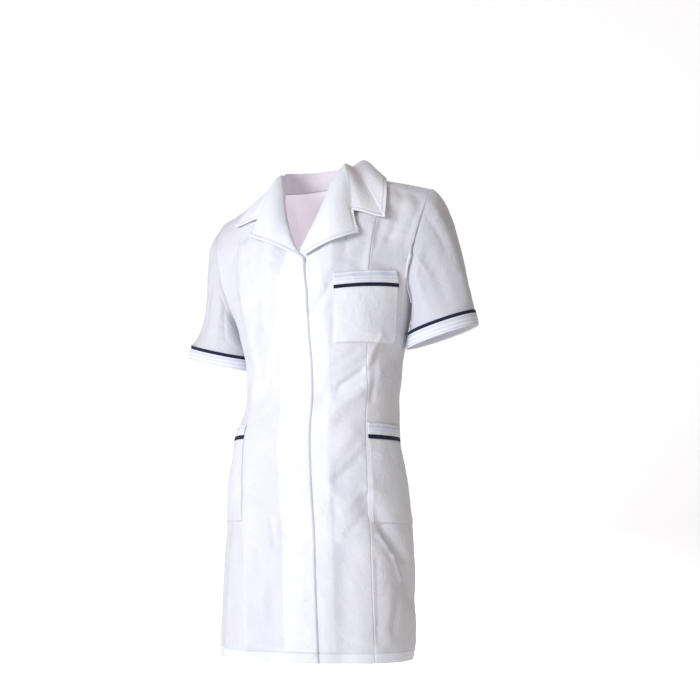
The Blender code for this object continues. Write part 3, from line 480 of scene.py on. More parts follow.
@dataclass(frozen=True)
class BodyForm:
    """The worn body's cloth, from which every panel, pocket, lapel and collar is worked out."""

    hem: float = -0.895
    chest: float = -0.245
    side_dip: float = 0.062
    level_rows: float = 0.65
    overlap: float = 0.15
    squareness: float = 2.3
    gorge: float = 0.50
    neck: float = 0.66
    tip: float = 1.38
    waves: Waves = field(default_factory=lambda: Waves(11, 0.022, 0.120))
    wave_height: float = 0.0014
    fold_strength: float = 1.25
    wrinkle_strength: float = 1.45
    calm_rows: float = 0.3
    pull_reach: float = 1.15
    normal_step: float = 0.004
    search_step: float = 0.002
    search_rounds: int = 8
    search_move: float = 0.2
    search_columns: Pair = (-0.14, 3.9)
    search_rows: Pair = (0.05, 1.98)
    sample_counts: tuple[int, int] = (130, 80)
    sample_row: float = 0.9

    def ring(self, column: Array, height: Array) -> Array:
        """Point of the left half's ring, a superellipse of the table's half width and depth.

        Args:
            column: places across.
            height: heights up to the chest.
        Returns:
            The points: half width × sine and depth × cosine of the column's angle, over
            the norm (|sine|^n + |cosine|^n)^(1/n), where n is the squareness.
        """
        front_seam = smooth(RINGS, "front_seam", height)
        back_seam = smooth(RINGS, "back_seam", height)
        angle = front_seam + (column - 1) * (90 - front_seam)
        angle = np.where(column < 1, column * front_seam, angle)
        angle = np.where(column > 2, 90 + (column - 2) * (back_seam - 90), angle)
        angle = np.where(column > 3, back_seam + (column - 3) * (180 - back_seam), angle)
        sine = np.sin(np.radians(angle))
        cosine = np.cos(np.radians(angle))
        power = self.squareness
        full = (abs(sine) ** power + abs(cosine) ** power) ** (-1 / power)
        depth = np.where(cosine > 0, smooth(RINGS, "front", height), smooth(RINGS, "back", height))
        half_width = smooth(RINGS, "half_width", height)
        return np.stack([half_width * sine * full, -depth * cosine * full, height], axis=-1)

    def top_edge(self, column: Array) -> Array:
        """Point of the left half's neck, shoulder or armhole edge at a column.

        Args:
            column: places across.
        Returns:
            The points, on one smooth curve for each stretch of the edge.
        """
        stretches = (
            (-self.overlap, self.gorge, ROLL_LINE),
            (self.gorge, self.neck, FRONT_NECK),
            (self.neck, self.tip, SHOULDER),
            (self.tip, 2.0, FRONT_ARMHOLE),
            (2.0, 4 - self.tip, BACK_ARMHOLE),
            (4 - self.tip, 4 - self.neck, SHOULDER[::-1]),
            (4 - self.neck, 4.0, BACK_NECK),
        )
        points = np.zeros(column.shape + (3,))
        for start, end, edge in stretches:
            inside = (column >= start) & (column <= end)
            points[inside] = curve(edge, (column[inside] - start) / (end - start))
        return points

    def row_height(self, column: Array, row: Array) -> Array:
        """Height of a row up to the chest; the upper ones dip towards the side seam."""
        dip = self.side_dip * ease(1 - abs(column - 2), 0, 1)
        return self.hem + (self.chest - self.hem) * row - dip * ease(row, self.level_rows, 1)

    def plain(self, column: Array, row: Array) -> Array:
        """Cloth of the left half without folds: rings below the chest, drawn curves above.

        Args:
            column: places across.
            row: places up.
        Returns:
            The points; cubics leave the ring along its slope and reach the top edge along
            the table's pull.
        """
        column, row = np.broadcast_arrays(column, row)
        chest = self.row_height(column, 1.0)
        low = self.ring(column, self.row_height(column, np.clip(row, 0, 1)))
        start = self.ring(column, chest)
        step = self.search_step
        rise = (self.ring(column, chest + step) - self.ring(column, chest - step)) / (2 * step)
        end = self.top_edge(column)
        length = np.linalg.norm(end - start, axis=-1)[..., None]
        pull = unit(np.stack([smooth(PULLS, axis, column) for axis in "xyz"], axis=-1))
        high = hermite(start, end, rise * length, pull * length * self.pull_reach,
                       np.clip(row - 1, 0, 1))
        return np.where((row > 1)[..., None], high, low)

    def normal(self, column: Array, row: Array) -> Array:
        """Outward direction of the left half's plain cloth, from small steps across and up.

        Args:
            column: places across.
            row: places up.
        Returns:
            The cross product of the two steps, at length 1.
        """
        step = self.normal_step
        across = self.plain(np.minimum(column + step, 4), row)
        across = across - self.plain(np.maximum(column - step, -self.overlap), row)
        up = self.plain(column, np.minimum(row + step, 2))
        up = up - self.plain(column, np.maximum(row - step, 0))
        return unit(np.cross(across, up))

    def relief(self, points: Array, fine: bool = True) -> Array:
        """How far folds, wrinkles and small waves move the cloth out.

        Each fold is its depth times exp(-(d / width)²), where d is the distance on the unrolled
        body from the point to the straight line between the fold's two ends.

        Args:
            points: plain body points.
            fine: adds the wrinkles and waves to the large folds.
        Returns:
            The distance out, in metres, negative where the cloth moves in.
        """
        around = np.degrees(np.arctan2(points[..., 0], -points[..., 1]))
        total = np.zeros(around.shape)
        folds = [(fold, self.fold_strength) for fold in FOLDS]
        if fine:
            folds += [(fold, self.wrinkle_strength) for fold in WRINKLES]
        for fold, strength in folds:
            run = np.array([np.radians(fold.to_angle - fold.from_angle) * UNROLL_RADIUS,
                            fold.to_height - fold.from_height])
            turn = (around - fold.from_angle + 180) % 360 - 180
            across = np.radians(turn) * UNROLL_RADIUS
            up = points[..., 2] - fold.from_height
            share = np.clip((across * run[0] + up * run[1]) / (run @ run), 0, 1)
            away = np.hypot(across - share * run[0], up - share * run[1])
            total += strength * fold.depth * bump(away, fold.width)
        if fine:
            behind = np.radians(around) * UNROLL_RADIUS
            total += self.waves(behind, points[..., 2]) * self.wave_height
        return total

    def cloth(self, column: Array, row: Array, side: int, lift: Array | float = 0.0,
              fine: bool = True) -> TwoArrays:
        """Folded cloth of one half.

        Args:
            column: places across.
            row: places up.
            side: 1 left, -1 right.
            lift: distance out.
            fine: adds wrinkles and waves.
        Returns:
            The points and their outward directions, before the stance.
        """
        column, row = np.broadcast_arrays(np.asarray(column, float), np.asarray(row, float))
        mirror = np.array([side, 1, 1])
        points = self.plain(column, row) * mirror
        normals = self.normal(column, row) * mirror
        edge = ease(2 - row, 0, self.calm_rows)
        return points + normals * (self.relief(points, fine) * edge + lift)[..., None], normals

    def locate(self, wanted: Array, measure: "Measure", column: Array,
               row: Array) -> TwoArrays:
        """Columns and rows where two measures of the plain cloth have wanted values.

        Each round solves the two by two system of the measures' slopes, found from small steps.

        Args:
            wanted: the two values for each place, last axis 2.
            measure: which two values are measured.
            column: first guess.
            row: first guess.
        Returns:
            The columns and rows.
        """
        step = self.search_step
        most = self.search_move
        for _ in range(self.search_rounds):
            here = measure.read(self.plain(column, row))
            d_column = (measure.read(self.plain(column + step, row)) - here) / step
            d_row = (measure.read(self.plain(column, row - step)) - here) / -step
            miss = wanted - here
            det = d_column[..., 0] * d_row[..., 1] - d_column[..., 1] * d_row[..., 0]
            det = np.where(abs(det) < TINY, TINY, det)
            move_column = (miss[..., 0] * d_row[..., 1] - miss[..., 1] * d_row[..., 0]) / det
            move_row = (miss[..., 1] * d_column[..., 0] - miss[..., 0] * d_column[..., 1]) / det
            column = np.clip(column + np.clip(move_column, -most, most), *self.search_columns)
            row = np.clip(row + np.clip(move_row, -most, most), *self.search_rows)
        return column, row

    def samples(self) -> TwoArrays:
        """Close samples of the upper body's cloth, both halves, and their outward directions.

        Returns:
            Two tables, one row for each sample.
        """
        columns, rows = np.meshgrid(np.linspace(-self.overlap, 4, self.sample_counts[0]),
                                    np.linspace(self.sample_row, 2, self.sample_counts[1]))
        places, outward = zip(*(self.cloth(columns, rows, side) for _, side in SIDES))
        return np.concatenate(places).reshape(-1, 3), np.concatenate(outward).reshape(-1, 3)

    def stand(self, points: Array) -> Array:
        """Points in the stance of the worn garment: turned, swayed and tilted by height.

        Args:
            points: points before the stance.
        Returns:
            The points turned about z, moved along x and raised by tilt × x.
        """
        height = points[..., 2]
        turn = np.radians(smooth(STANCES, "turn", height))
        x = points[..., 0] * np.cos(turn) - points[..., 1] * np.sin(turn)
        x = x + smooth(STANCES, "sway", height)
        y = points[..., 0] * np.sin(turn) + points[..., 1] * np.cos(turn)
        z = height + smooth(STANCES, "tilt", height) * points[..., 0]
        return np.stack([x, y, z], axis=-1)


class Measure(Enum):
    """Two values that fix a place on the body's front."""

    ANGLE_HEIGHT = "angle and height"
    FRONT_VIEW = "x and height"

    def read(self, points: Array) -> Array:
        """The two values at each point: unrolled angle or x, and height.

        Args:
            points: any shape × 3.
        Returns:
            The values, with a last axis of 2.
        """
        if self is Measure.ANGLE_HEIGHT:
            across = np.arctan2(points[..., 0], -points[..., 1]) * UNROLL_RADIUS
        else:
            across = points[..., 0]
        return np.stack([across, points[..., 2]], axis=-1)


def lay(points: Array, lift: Array, shell: TwoArrays, reach: float = 0.004) -> Array:
    """How a coarse sheet moves out to lie over the body.

    Each point's distance outside the body is the mean over the nearest samples, weighted by
    exp(-(d² - nearest²) / (2 reach²)); where it is under lift the point moves out, and its
    neighbours follow as a stretched sheet.

    Args:
        points: coarse grid, rows × columns × 3.
        lift: least distance outside the body at each point.
        shell: the body's samples and outward directions.
        reach: blur of the samples, in metres.
    Returns:
        The moves, rows × columns × 3.
    """
    samples, normals = shell
    flat = points.reshape(-1, 3)
    square = square_distances(flat, samples)
    weight = np.exp((square.min(axis=1, keepdims=True) - square) / (2 * reach ** 2))
    weight /= weight.sum(axis=1, keepdims=True)
    outside = (flat * (weight @ normals)).sum(1) - weight @ (samples * normals).sum(1)
    facing = unit(weight @ normals).reshape(points.shape)
    needed = np.maximum(lift - outside.reshape(lift.shape), 0)
    moved = needed
    for _ in range(LAY_PASSES):
        moved = np.maximum(needed, spread(moved))
        facing = unit(facing + spread(facing))
    return facing * spread(spread(moved))[..., None]


class Shader:
    """Short way to add linked shader nodes to a material or a node group."""

    def __init__(self, tree: Tree) -> None:
        """Keeps the tree that nodes are added to."""
        self.tree = tree

    def feed(self, node: Node, values: dict[str | int, object]) -> None:
        """Sets a node's inputs, by name or place; an input that is given a socket is linked.

        Args:
            node: the node.
            values: value or socket for each input.
        """
        for key, value in values.items():
            if isinstance(value, Socket):
                self.tree.links.new(value, node.inputs[key])
            else:
                node.inputs[key].default_value = value

    def add(self, kind: str, settings: dict | None = None, **inputs: object) -> Node:
        """A node with settings and inputs.

        Args:
            kind: the node's type name.
            settings: attributes of the node.
            inputs: value or socket for each input, by name with _ for a space, or i0, i1 by place.
        Returns:
            The node.
        """
        node = self.tree.nodes.new(kind)
        for name, value in (settings or {}).items():
            setattr(node, name, value)
        for name, value in inputs.items():
            by_place = name[0] == "i" and name[1:].isdigit()
            self.feed(node, {int(name[1:]) if by_place else name.replace("_", " "): value})
        return node

    def math(self, operation: str, *values: object) -> Socket:
        """Result of a Math node on up to three values or sockets."""
        inputs = {f"i{n}": value for n, value in enumerate(values)}
        return self.add("ShaderNodeMath", {"operation": operation}, **inputs).outputs[0]

    def band(self, value: object, centre: float, half: float, soft: float) -> Socket:
        """1 within half of centre, 0 beyond half plus soft, with a smooth edge.

        Args:
            value: socket that is compared.
            centre: middle of the band.
            half: half of its width.
            soft: width of its edge.
        Returns:
            The mask's socket.
        """
        away = self.math("ABSOLUTE", self.math("SUBTRACT", value, centre))
        return self.add("ShaderNodeMapRange", {"interpolation_type": "SMOOTHSTEP"}, Value=away,
                        From_Min=half, From_Max=half + soft, To_Min=1, To_Max=0).outputs[0]

    def attribute(self, name: str) -> Socket:
        """Value of a named point attribute."""
        return self.add("ShaderNodeAttribute", {"attribute_name": name}).outputs["Fac"]

    def mix(self, factor: object, first: object, second: object,
            blend: str = "MIX") -> Socket:
        """Mix of two colours.

        Args:
            factor: share of the second.
            first: colour or socket.
            second: colour or socket.
            blend: the node's blend type.
        Returns:
            The colour's socket.
        """
        node = self.add("ShaderNodeMix", {"data_type": "RGBA", "blend_type": blend})
        # The node has sockets for every data type; 6, 7 and output 2 are the colour's
        self.feed(node, {0: factor, 6: first, 7: second})
        return node.outputs[2]


def new_material(name: str) -> tuple[Material, Shader, Node]:
    """A new material, the shader helper on it and its surface node."""
    material = bpy.data.materials.new(name)
    material.use_nodes = True
    return material, Shader(material.node_tree), material.node_tree.nodes["Principled BSDF"]


def node_group(name: str, inputs: dict[str, float],
               outputs: tuple[str, ...]) -> tuple[Shader, Node, Node]:
    """An empty shader group with named value sockets.

    Args:
        name: the group's name.
        inputs: default value of each input.
        outputs: name of each output.
    Returns:
        The shader helper on the group, its input node and its output node.
    """
    tree = bpy.data.node_groups.new(name, "ShaderNodeTree")
    kind = "NodeSocketFloat"
    for word, value in inputs.items():
        socket = tree.interface.new_socket(name=word, in_out="INPUT", socket_type=kind)
        socket.default_value = value
    for word in outputs:
        tree.interface.new_socket(name=word, in_out="OUTPUT", socket_type=kind)
    return Shader(tree), tree.nodes.new("NodeGroupInput"), tree.nodes.new("NodeGroupOutput")


@dataclass
class Effects:
    """Shader groups that the finishes share, with lengths in metres and scales per metre."""

    yarn_pitch: float = 0.0005
    yarn_stretches: tuple[Triple, ...] = ((2200.0, 40.0, 1.0), (40.0, 2200.0, 1.0))
    stitch_pitch: float = 0.0026
    dash: Pair = (0.36, 0.08)
    thread: Pair = (0.00025, 0.0003)
    groove: Pair = (0.0004, 0.0022)
    tone_scale: float = 9.0
    crease_scale: float = 42.0
    patch_scale: float = 17.0

    def __post_init__(self) -> None:
        """Builds each group once."""
        self.weave = self.make_weave()
        self.stitch = self.make_stitch()
        self.mottle = self.make_mottle()

    def make_weave(self) -> Tree:
        """Plain weave on the cut's own UV map.

        The height is sin(across) × sin(up), one hump where each yarn passes over another, and
        yarns differ by stretched noise.

        Returns:
            The group.
        """
        shader, given, out = node_group(
            "plain_weave", {"Pitch": self.yarn_pitch, "Unevenness": 0.5}, ("Height", "Yarn"))
        place = shader.add("ShaderNodeUVMap", {"uv_map": "cut"}).outputs[0]
        split = shader.add("ShaderNodeSeparateXYZ", Vector=place)
        turn = shader.math("DIVIDE", np.pi, given.outputs["Pitch"])
        across = shader.math("SINE", shader.math("MULTIPLY", split.outputs[0], turn))
        up = shader.math("SINE", shader.math("MULTIPLY", split.outputs[1], turn))
        yarns = []
        for stretch in self.yarn_stretches:
            moved = shader.add("ShaderNodeVectorMath", {"operation": "MULTIPLY"},
                               i0=place, i1=stretch)
            noise = shader.add("ShaderNodeTexNoise", Vector=moved.outputs[0],
                               Scale=1.0, Detail=2.0)
            yarns.append(noise.outputs[0])
        slub = shader.math("SUBTRACT", shader.math("ADD", yarns[0], yarns[1]), 1.0)
        slub = shader.math("MULTIPLY", slub, given.outputs["Unevenness"])
        hump = shader.math("MULTIPLY_ADD", shader.math("MULTIPLY", across, up), 0.5, 0.5)
        shader.feed(out, {"Height": shader.math("ADD", hump, slub), "Yarn": slub})
        return shader.tree

    def make_stitch(self) -> Tree:
        """A row of machine stitches.

        Stitches are 1 where the distance from the stitch line is under half a thread, broken by
        the run along it: 1 for three quarters of each pitch. The groove is a soft dip round it.

        Returns:
            The group.
        """
        shader, given, out = node_group(
            "stitches", {"Distance": 1.0, "Run": 0.0, "Pitch": self.stitch_pitch},
            ("Thread", "Groove"))
        line = shader.band(given.outputs["Distance"], 0.0, *self.thread)
        pitches = shader.math("DIVIDE", given.outputs["Run"], given.outputs["Pitch"])
        dash = shader.band(shader.math("FRACT", pitches), 0.5, *self.dash)
        groove = shader.band(given.outputs["Distance"], 0.0, *self.groove)
        shader.feed(out, {"Thread": shader.math("MULTIPLY", line, dash), "Groove": groove})
        return shader.tree

    def make_mottle(self) -> Tree:
        """Uneven cloth, by noise: large for tone, bent for tiny creases, and patches of tint.

        Returns:
            The group.
        """
        shader, given, out = node_group(
            "mottle", {"Scale": self.tone_scale}, ("Tone", "Creases", "Tint"))
        place = shader.add("ShaderNodeTexCoord").outputs["Object"]
        tone = shader.add("ShaderNodeTexNoise", Vector=place, Scale=given.outputs["Scale"],
                          Detail=3.0)
        crease = shader.add("ShaderNodeTexNoise", Vector=place, Scale=self.crease_scale,
                            Detail=3.0, Roughness=0.45, Distortion=0.8)
        ridge = shader.math("ABSOLUTE", shader.math("SUBTRACT", crease.outputs[0], 0.5))
        patch = shader.add("ShaderNodeTexNoise", Vector=place, Scale=self.patch_scale, Detail=2.0)
        spread_out = shader.math("MULTIPLY_ADD", patch.outputs[0], 3.0, -1.0)
        clamped = shader.add("ShaderNodeClamp", Value=spread_out)
        shader.feed(out, {"Tint": clamped.outputs[0], "Tone": tone.outputs[0], "Creases": ridge})
        return shader.tree


@dataclass(frozen=True)
class ClothFinish:
    """Pressed polyester and cotton: colour of one ply and of two, the lighter two-ply colour partly
    painted light, and how it takes light.
    """

    name: str
    single: Colour
    double: Colour
    roughness: float = 0.82
    sheen: float = 0.12
    weave_pitch: float = 0.0005
    crease_height: float = 0.0018
    stripes: tuple[tuple[float, ...], ...] = ()
    stripe_soft: float = 0.03
    weave_height: float = 0.00006
    groove_height: float = -0.0005
    thread_height: float = 0.0004
    least_tone: float = 0.95
    mottle_tone: float = 0.10
    yarn_tone: float = 0.05
    thread_tone: float = -0.10
    groove_painted_shade: float = -0.04
    cool: Colour = (0.965, 0.975, 1.0, 1.0)
    warm: Colour = (1.0, 0.978, 0.985, 1.0)
    specular: float = 0.25
    sheen_roughness: float = 0.5
    # Emission that paints light into the cloth's colour
    glow: float = 0.0

    def build(self, effects: Effects) -> Material:
        """The material.

        The colour goes from one ply's to two plies' by the attribute plies, the lighter two plies
        partly painted light, stripes are laid by the attribute band, large noise moves the tone a
        little, stitches are a shade darker and the groove round them is darkened as painted shade.

        Args:
            effects: the shared shader groups.
        Returns:
            The material.
        """
        material, shader, surface = new_material(self.name)
        shader.feed(surface, {"Roughness": self.roughness, "Sheen Weight": self.sheen,
                              "Sheen Roughness": self.sheen_roughness,
                              "Specular IOR Level": self.specular})
        weave = shader.add("ShaderNodeGroup", {"node_tree": effects.weave}, Pitch=self.weave_pitch)
        stitch = shader.add("ShaderNodeGroup", {"node_tree": effects.stitch},
                            Distance=shader.attribute("stitch"), Run=shader.attribute("run"))
        mottle = shader.add("ShaderNodeGroup", {"node_tree": effects.mottle})
        # Two plies are lighter: partly real opacity, partly painted light for the light a single
        # thin ply lets through
        colour = shader.mix(shader.attribute("plies"), self.single, self.double)
        for low, high, *tint in self.stripes:
            inside = shader.band(shader.attribute("band"), (low + high) / 2, (high - low) / 2,
                                 self.stripe_soft)
            colour = shader.mix(inside, colour, (*tint, 1.0))
        tone = self.least_tone
        for effect, share in ((mottle.outputs["Tone"], self.mottle_tone),
                              (weave.outputs["Yarn"], self.yarn_tone),
                              (stitch.outputs["Thread"], self.thread_tone),
                              # The groove round each stitch is darkened: painted shade in the dip
                              (stitch.outputs["Groove"], self.groove_painted_shade)):
            tone = shader.math("MULTIPLY_ADD", effect, share, tone)
        grey = shader.add("ShaderNodeCombineColor", i0=tone, i1=tone, i2=tone)
        colour = shader.mix(1.0, colour, grey.outputs[0], "MULTIPLY")
        tint = shader.mix(mottle.outputs["Tint"], self.cool, self.warm)
        colour = shader.mix(1.0, colour, tint, "MULTIPLY")
        # Painted glow: emission that stands in for light coming through the thin cloth
        if self.glow:
            shader.feed(surface, {"Emission Color": colour, "Emission Strength": self.glow})
        height = shader.math("MULTIPLY", mottle.outputs["Creases"], self.crease_height)
        for effect, rise in ((weave.outputs["Height"], self.weave_height),
                             (stitch.outputs["Groove"], self.groove_height),
                             (stitch.outputs["Thread"], self.thread_height)):
            height = shader.math("MULTIPLY_ADD", effect, rise, height)
        relief = shader.add("ShaderNodeBump", Height=height, Distance=1.0, Strength=1.0)
        shader.feed(surface, {"Base Color": colour, "Normal": relief.outputs[0]})
        return material


@dataclass(frozen=True)
class BraidFinish:
    """Flat navy braid, woven in slanting ribs."""

    name: str
    colour: Colour
    rib: float = 0.0011
    rib_height: float = 0.0001
    rib_painted_shade: float = 0.18
    middle_tone: float = 0.75
    mottle_tone: float = 0.5
    mottle_scale: float = 60.0
    roughness: float = 0.65
    sheen: float = 0.05
    specular: float = 0.3

    def build(self, effects: Effects) -> Material:
        """The material: ribs are the sine of across plus up, darkened in their troughs as painted
        shade, and noise varies the navy.

        Args:
            effects: the shared shader groups.
        Returns:
            The material.
        """
        material, shader, surface = new_material(self.name)
        shader.feed(surface, {"Roughness": self.roughness, "Sheen Weight": self.sheen,
                              "Specular IOR Level": self.specular})
        split = shader.add("ShaderNodeSeparateXYZ",
                           Vector=shader.add("ShaderNodeUVMap", {"uv_map": "cut"}).outputs[0])
        slant = shader.math("ADD", split.outputs[0], split.outputs[1])
        rib = shader.math("SINE", shader.math("MULTIPLY", slant, 2 * np.pi / self.rib))
        mottle = shader.add("ShaderNodeGroup", {"node_tree": effects.mottle},
                            Scale=self.mottle_scale)
        # Darker rib troughs: painted shade following the rib relief
        tone = shader.math("MULTIPLY_ADD", rib, self.rib_painted_shade, self.middle_tone)
        tone = shader.math("MULTIPLY_ADD", mottle.outputs["Tone"], self.mottle_tone, tone)
        grey = shader.add("ShaderNodeCombineColor", i0=tone, i1=tone, i2=tone)
        colour = shader.mix(1.0, self.colour, grey.outputs[0], "MULTIPLY")
        relief = shader.add("ShaderNodeBump", Distance=1.0,
                            Height=shader.math("MULTIPLY", rib, self.rib_height))
        shader.feed(surface, {"Base Color": colour, "Normal": relief.outputs[0]})
        return material


class Slot(Enum):
    """The record's material slots."""

    WHITE = "white_cloth"
    STRIPED = "striped_band"
    NAVY = "navy_braid"


@dataclass
class Sewing:
    """Turns grids of points into sewn pieces and keeps what they share."""

    form: BodyForm
    finishes: dict[str, Material]
    wall: float = 0.0010
    fullest: float = 0.999
    pieces: list[str] = field(default_factory=list)

    def piece(self, node: str, points: Array, slot: Slot, finish: str, inside: str, held: str,
              rests_on: str, outward: bool = True, wrap: bool = False, flip: bool = False,
              wall: float | None = None, marks: dict[str, Array] | None = None,
              trims: tuple[bpy.types.Object, ...] = ()) -> bpy.types.Object:
        """One sewn piece that stands for a solid of the frame.

        The grid becomes quads between neighbouring rows and columns, its UV map holds the lengths
        across and up in metres, and a live wall gives it thickness.

        Args:
            node: the solid it replaces.
            points: rows × columns × 3, before the stance.
            slot: the record's slot; not used.
            finish: key of the outer finish.
            inside: key of the inner side's finish.
            held: how the cloth is held, or empty for a narrow tape; not used.
            rests_on: what it lies on or hangs from; not used.
            outward: whether the wall grows outwards.
            wrap: whether the last column joins the first.
            flip: whether the grid is mirrored.
            wall: thickness, or the usual one.
            marks: values at each point, by attribute name.
            trims: tapes sewn on this piece; not used.
        Returns:
            The object.
        """
        points = self.form.stand(points)
        rows, columns = points.shape[:2]
        numbers = np.arange(rows * columns).reshape(rows, columns)
        open_points = points
        if wrap:
            numbers = np.hstack([numbers, numbers[:, :1]])
            open_points = np.hstack([points, points[:, :1]])
        faces = quad_corners(numbers).reshape(-1, 4)
        uv = np.stack([arcs(open_points, 1), arcs(open_points, 0)], axis=-1)
        uv[..., 0] -= uv[..., 0].mean(axis=1, keepdims=True)
        uv_corners = quad_corners(uv).reshape(-1, 4, 2)
        if flip:
            faces = faces[:, ::-1]
            uv_corners = uv_corners[:, ::-1]
        mesh = bpy.data.meshes.new(f"{node}_cloth")
        mesh.from_pydata(points.reshape(-1, 3), [], faces)
        cut = mesh.uv_layers.new(name="cut")
        cut.data.foreach_set("uv", uv_corners.reshape(-1).astype(np.float32))
        plain = np.zeros((rows, columns))
        values = {"stitch": plain + 1, "run": plain, "plies": plain, **(marks or {})}
        for name, mark in values.items():
            layer = mesh.attributes.new(name, "FLOAT", "POINT")
            layer.data.foreach_set("value", np.ascontiguousarray(mark, np.float32).reshape(-1))
        mesh.shade_smooth()
        mesh.materials.append(self.finishes[finish])
        mesh.materials.append(self.finishes[inside])
        piece = bpy.data.objects.new(f"{node}_cloth", mesh)
        bpy.context.scene.collection.objects.link(piece)
        solid = piece.modifiers.new("Wall", "SOLIDIFY")
        solid.thickness = wall or self.wall
        solid.offset = 1 if outward else -1
        solid.material_offset = 1
        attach(piece, "root")
        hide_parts(node)
        self.pieces.append(piece.name)
        return piece


def seam_dip(gap: Array, depth: float = 0.0010, width: float = 0.0013) -> Array:
    """How far the cloth dips at a seam: depth times a bump of the gap."""
    return depth * bump(gap, width)


def edge_ridge(gap: Array, inset: float = 0.002) -> Array:
    """How far the plies turned in at a free edge raise the cloth, most at an inset from it."""
    return PLY * bump(gap - inset, inset)


def band_puff(share: Array, height: float = 0.0006) -> Array:
    """How far a band puffs out at shares of its depth: height × the root of half a sine wave."""
    return height * np.sin(np.pi * share) ** 0.5


@dataclass
class BodyPanels:
    """The seven body panels: fronts, side fronts, side backs and the back."""

    sewing: Sewing
    step: float = 0.0032
    hem_depth: float = 0.019
    lap_lift: float = 0.0014
    lap_flat: float = 0.22
    lap_end: float = 0.60
    underlap: float = 0.7
    facing: float = 0.062
    facing_fade: float = 0.001
    hem_fade: Pair = (0.0005, 0.0015)
    hem_steps: tuple[float, ...] = (0.0008, 0.0016, 0.0030)
    edge_stitch: float = 0.0015
    mean_width: float = 0.12
    skirt_length: float = 0.65
    bodice_length: float = 0.27
    top_length: float = 0.25
    studs: tuple[float, ...] = (-0.292, -0.418, -0.5465, -0.665, -0.782)
    stud_inset: float = 0.018
    stud_half: float = 0.003
    stud_dip: float = 0.0009
    stud_width: float = 0.005

    def columns(self, start: float, end: float, sewn: tuple[bool, bool]) -> Array:
        """Columns about a step apart, with closer ones beside a sewn edge.

        Args:
            start: first column.
            end: last column.
            sewn: whether the first and the last column are seams.
        Returns:
            The columns, rising.
        """
        count = int((end - start) * self.mean_width / self.step) + 2
        base = np.linspace(start, end, count)
        near = CLOSE_STEPS / self.mean_width
        extra = [start + near] * sewn[0] + [end - near] * sewn[1]
        return np.unique(np.concatenate([base] + extra))

    def rows(self) -> Array:
        """Rows about a step apart, with closer ones at the hem and below the top seams.

        Returns:
            The rows, rising.
        """
        lower = np.linspace(0, 1, int(self.skirt_length / self.step))
        upper = np.linspace(1, 2, int(self.bodice_length / self.step))
        hem = np.array(self.hem_steps) / self.skirt_length
        top = 2 - CLOSE_STEPS / self.top_length
        return np.unique(np.concatenate([lower, upper, hem, top]))

    def hem_plies(self, up: Array) -> Array:
        """1 on the double hem and 0 above it, by height along the cloth."""
        return 1 - ease(up, self.hem_depth - self.hem_fade[0], self.hem_depth + self.hem_fade[1])

    def panel(self, node: str, columns: Array, side: int, sewn: tuple[bool, bool],
              lift: Array | float = 0.0) -> None:
        """One panel with dipped seams, a double hem and its stitch lines.

        Args:
            node: the solid it replaces.
            columns: its columns, rising.
            side: 1 left, -1 right.
            sewn: whether its first and last column are seams.
            lift: distance outside the body's cloth, by column.
        """
        column, row = np.meshgrid(columns, self.rows())
        points, normals = self.sewing.form.cloth(column, row, side, lift)
        across = arcs(points, 1)
        up = arcs(points, 0)
        seams = up[-1:] - up
        if sewn[0]:
            seams = np.minimum(seams, across)
        if sewn[1]:
            seams = np.minimum(seams, across[:, -1:] - across)
        points = points - normals * seam_dip(seams)[..., None]
        stitch = up - self.hem_depth
        plies = self.hem_plies(up)
        points = points + normals * (PLY * plies)[..., None]
        run = across.copy()
        if not sewn[0]:
            fade = self.facing_fade
            plies = np.maximum(plies, 1 - ease(across, self.facing - fade, self.facing + fade))
            beside = across - self.edge_stitch
            nearer = abs(beside) < abs(stitch)
            stitch = np.where(nearer, beside, stitch)
            run = np.where(nearer, up, run)
            if side < 0:
                for height in self.studs:
                    away = np.maximum(abs(across - self.stud_inset) - self.stud_half, 0)
                    away = np.hypot(away, points[..., 2] - height)
                    stitch = np.where(away < abs(stitch), away, stitch)
                    dip = self.stud_dip * bump(away, self.stud_width)
                    points = points - normals * dip[..., None]
        # The side backs' inside takes the pink glowing finish: painted light through the thin cloth
        inside = "painted_glow_neck_inside" if node.startswith("side_back") else "white"
        # Side panels take the darker side white: painted shade
        outside = "side" if node.startswith("side") else "white"
        self.sewing.piece(node, points, Slot.WHITE, outside, inside, "hung", "collar",
                          flip=side < 0, marks={"stitch": stitch, "run": run, "plies": plies})

    def build(self) -> None:
        """Makes all seven panels."""
        form = self.sewing.form
        under = self.columns(-form.overlap * self.underlap, 1, (False, True))
        over = self.columns(-form.overlap, 1, (False, True))
        lap = self.lap_lift * (1 - ease(over, self.lap_flat, self.lap_end))
        self.panel("front_left", under, 1, (False, True))
        self.panel("front_right", over, -1, (False, True), lap)
        for word, side in SIDES:
            self.panel(f"side_front_{word}", self.columns(1, 2, (True, True)), side, (True, True))
            self.panel(f"side_back_{word}", self.columns(2, 3, (True, True)), side, (True, True))
        self.back()

    def back(self) -> None:
        """The back in one panel: the left half, then the right half from centre back."""
        columns = self.columns(3, 4, (True, False))
        column, row = np.meshgrid(columns, self.rows())
        left, left_normals = self.sewing.form.cloth(column, row, 1)
        right, right_normals = self.sewing.form.cloth(column, row, -1)
        points = np.concatenate([left, right[:, -2::-1]], axis=1)
        normals = np.concatenate([left_normals, right_normals[:, -2::-1]], axis=1)
        across = arcs(points, 1)
        up = arcs(points, 0)
        seams = np.minimum(np.minimum(across, across[:, -1:] - across), up[-1:] - up)
        plies = self.hem_plies(up)
        points = points + normals * (PLY * plies - seam_dip(seams))[..., None]
        # Its inside takes the pink glowing finish: painted light through the thin cloth
        # Outside, the back takes the darker side white: painted shade
        self.sewing.piece("back", points, Slot.WHITE, "side", "painted_glow_neck_inside", "hung", "collar",
                          marks={"stitch": up - self.hem_depth, "run": across, "plies": plies})


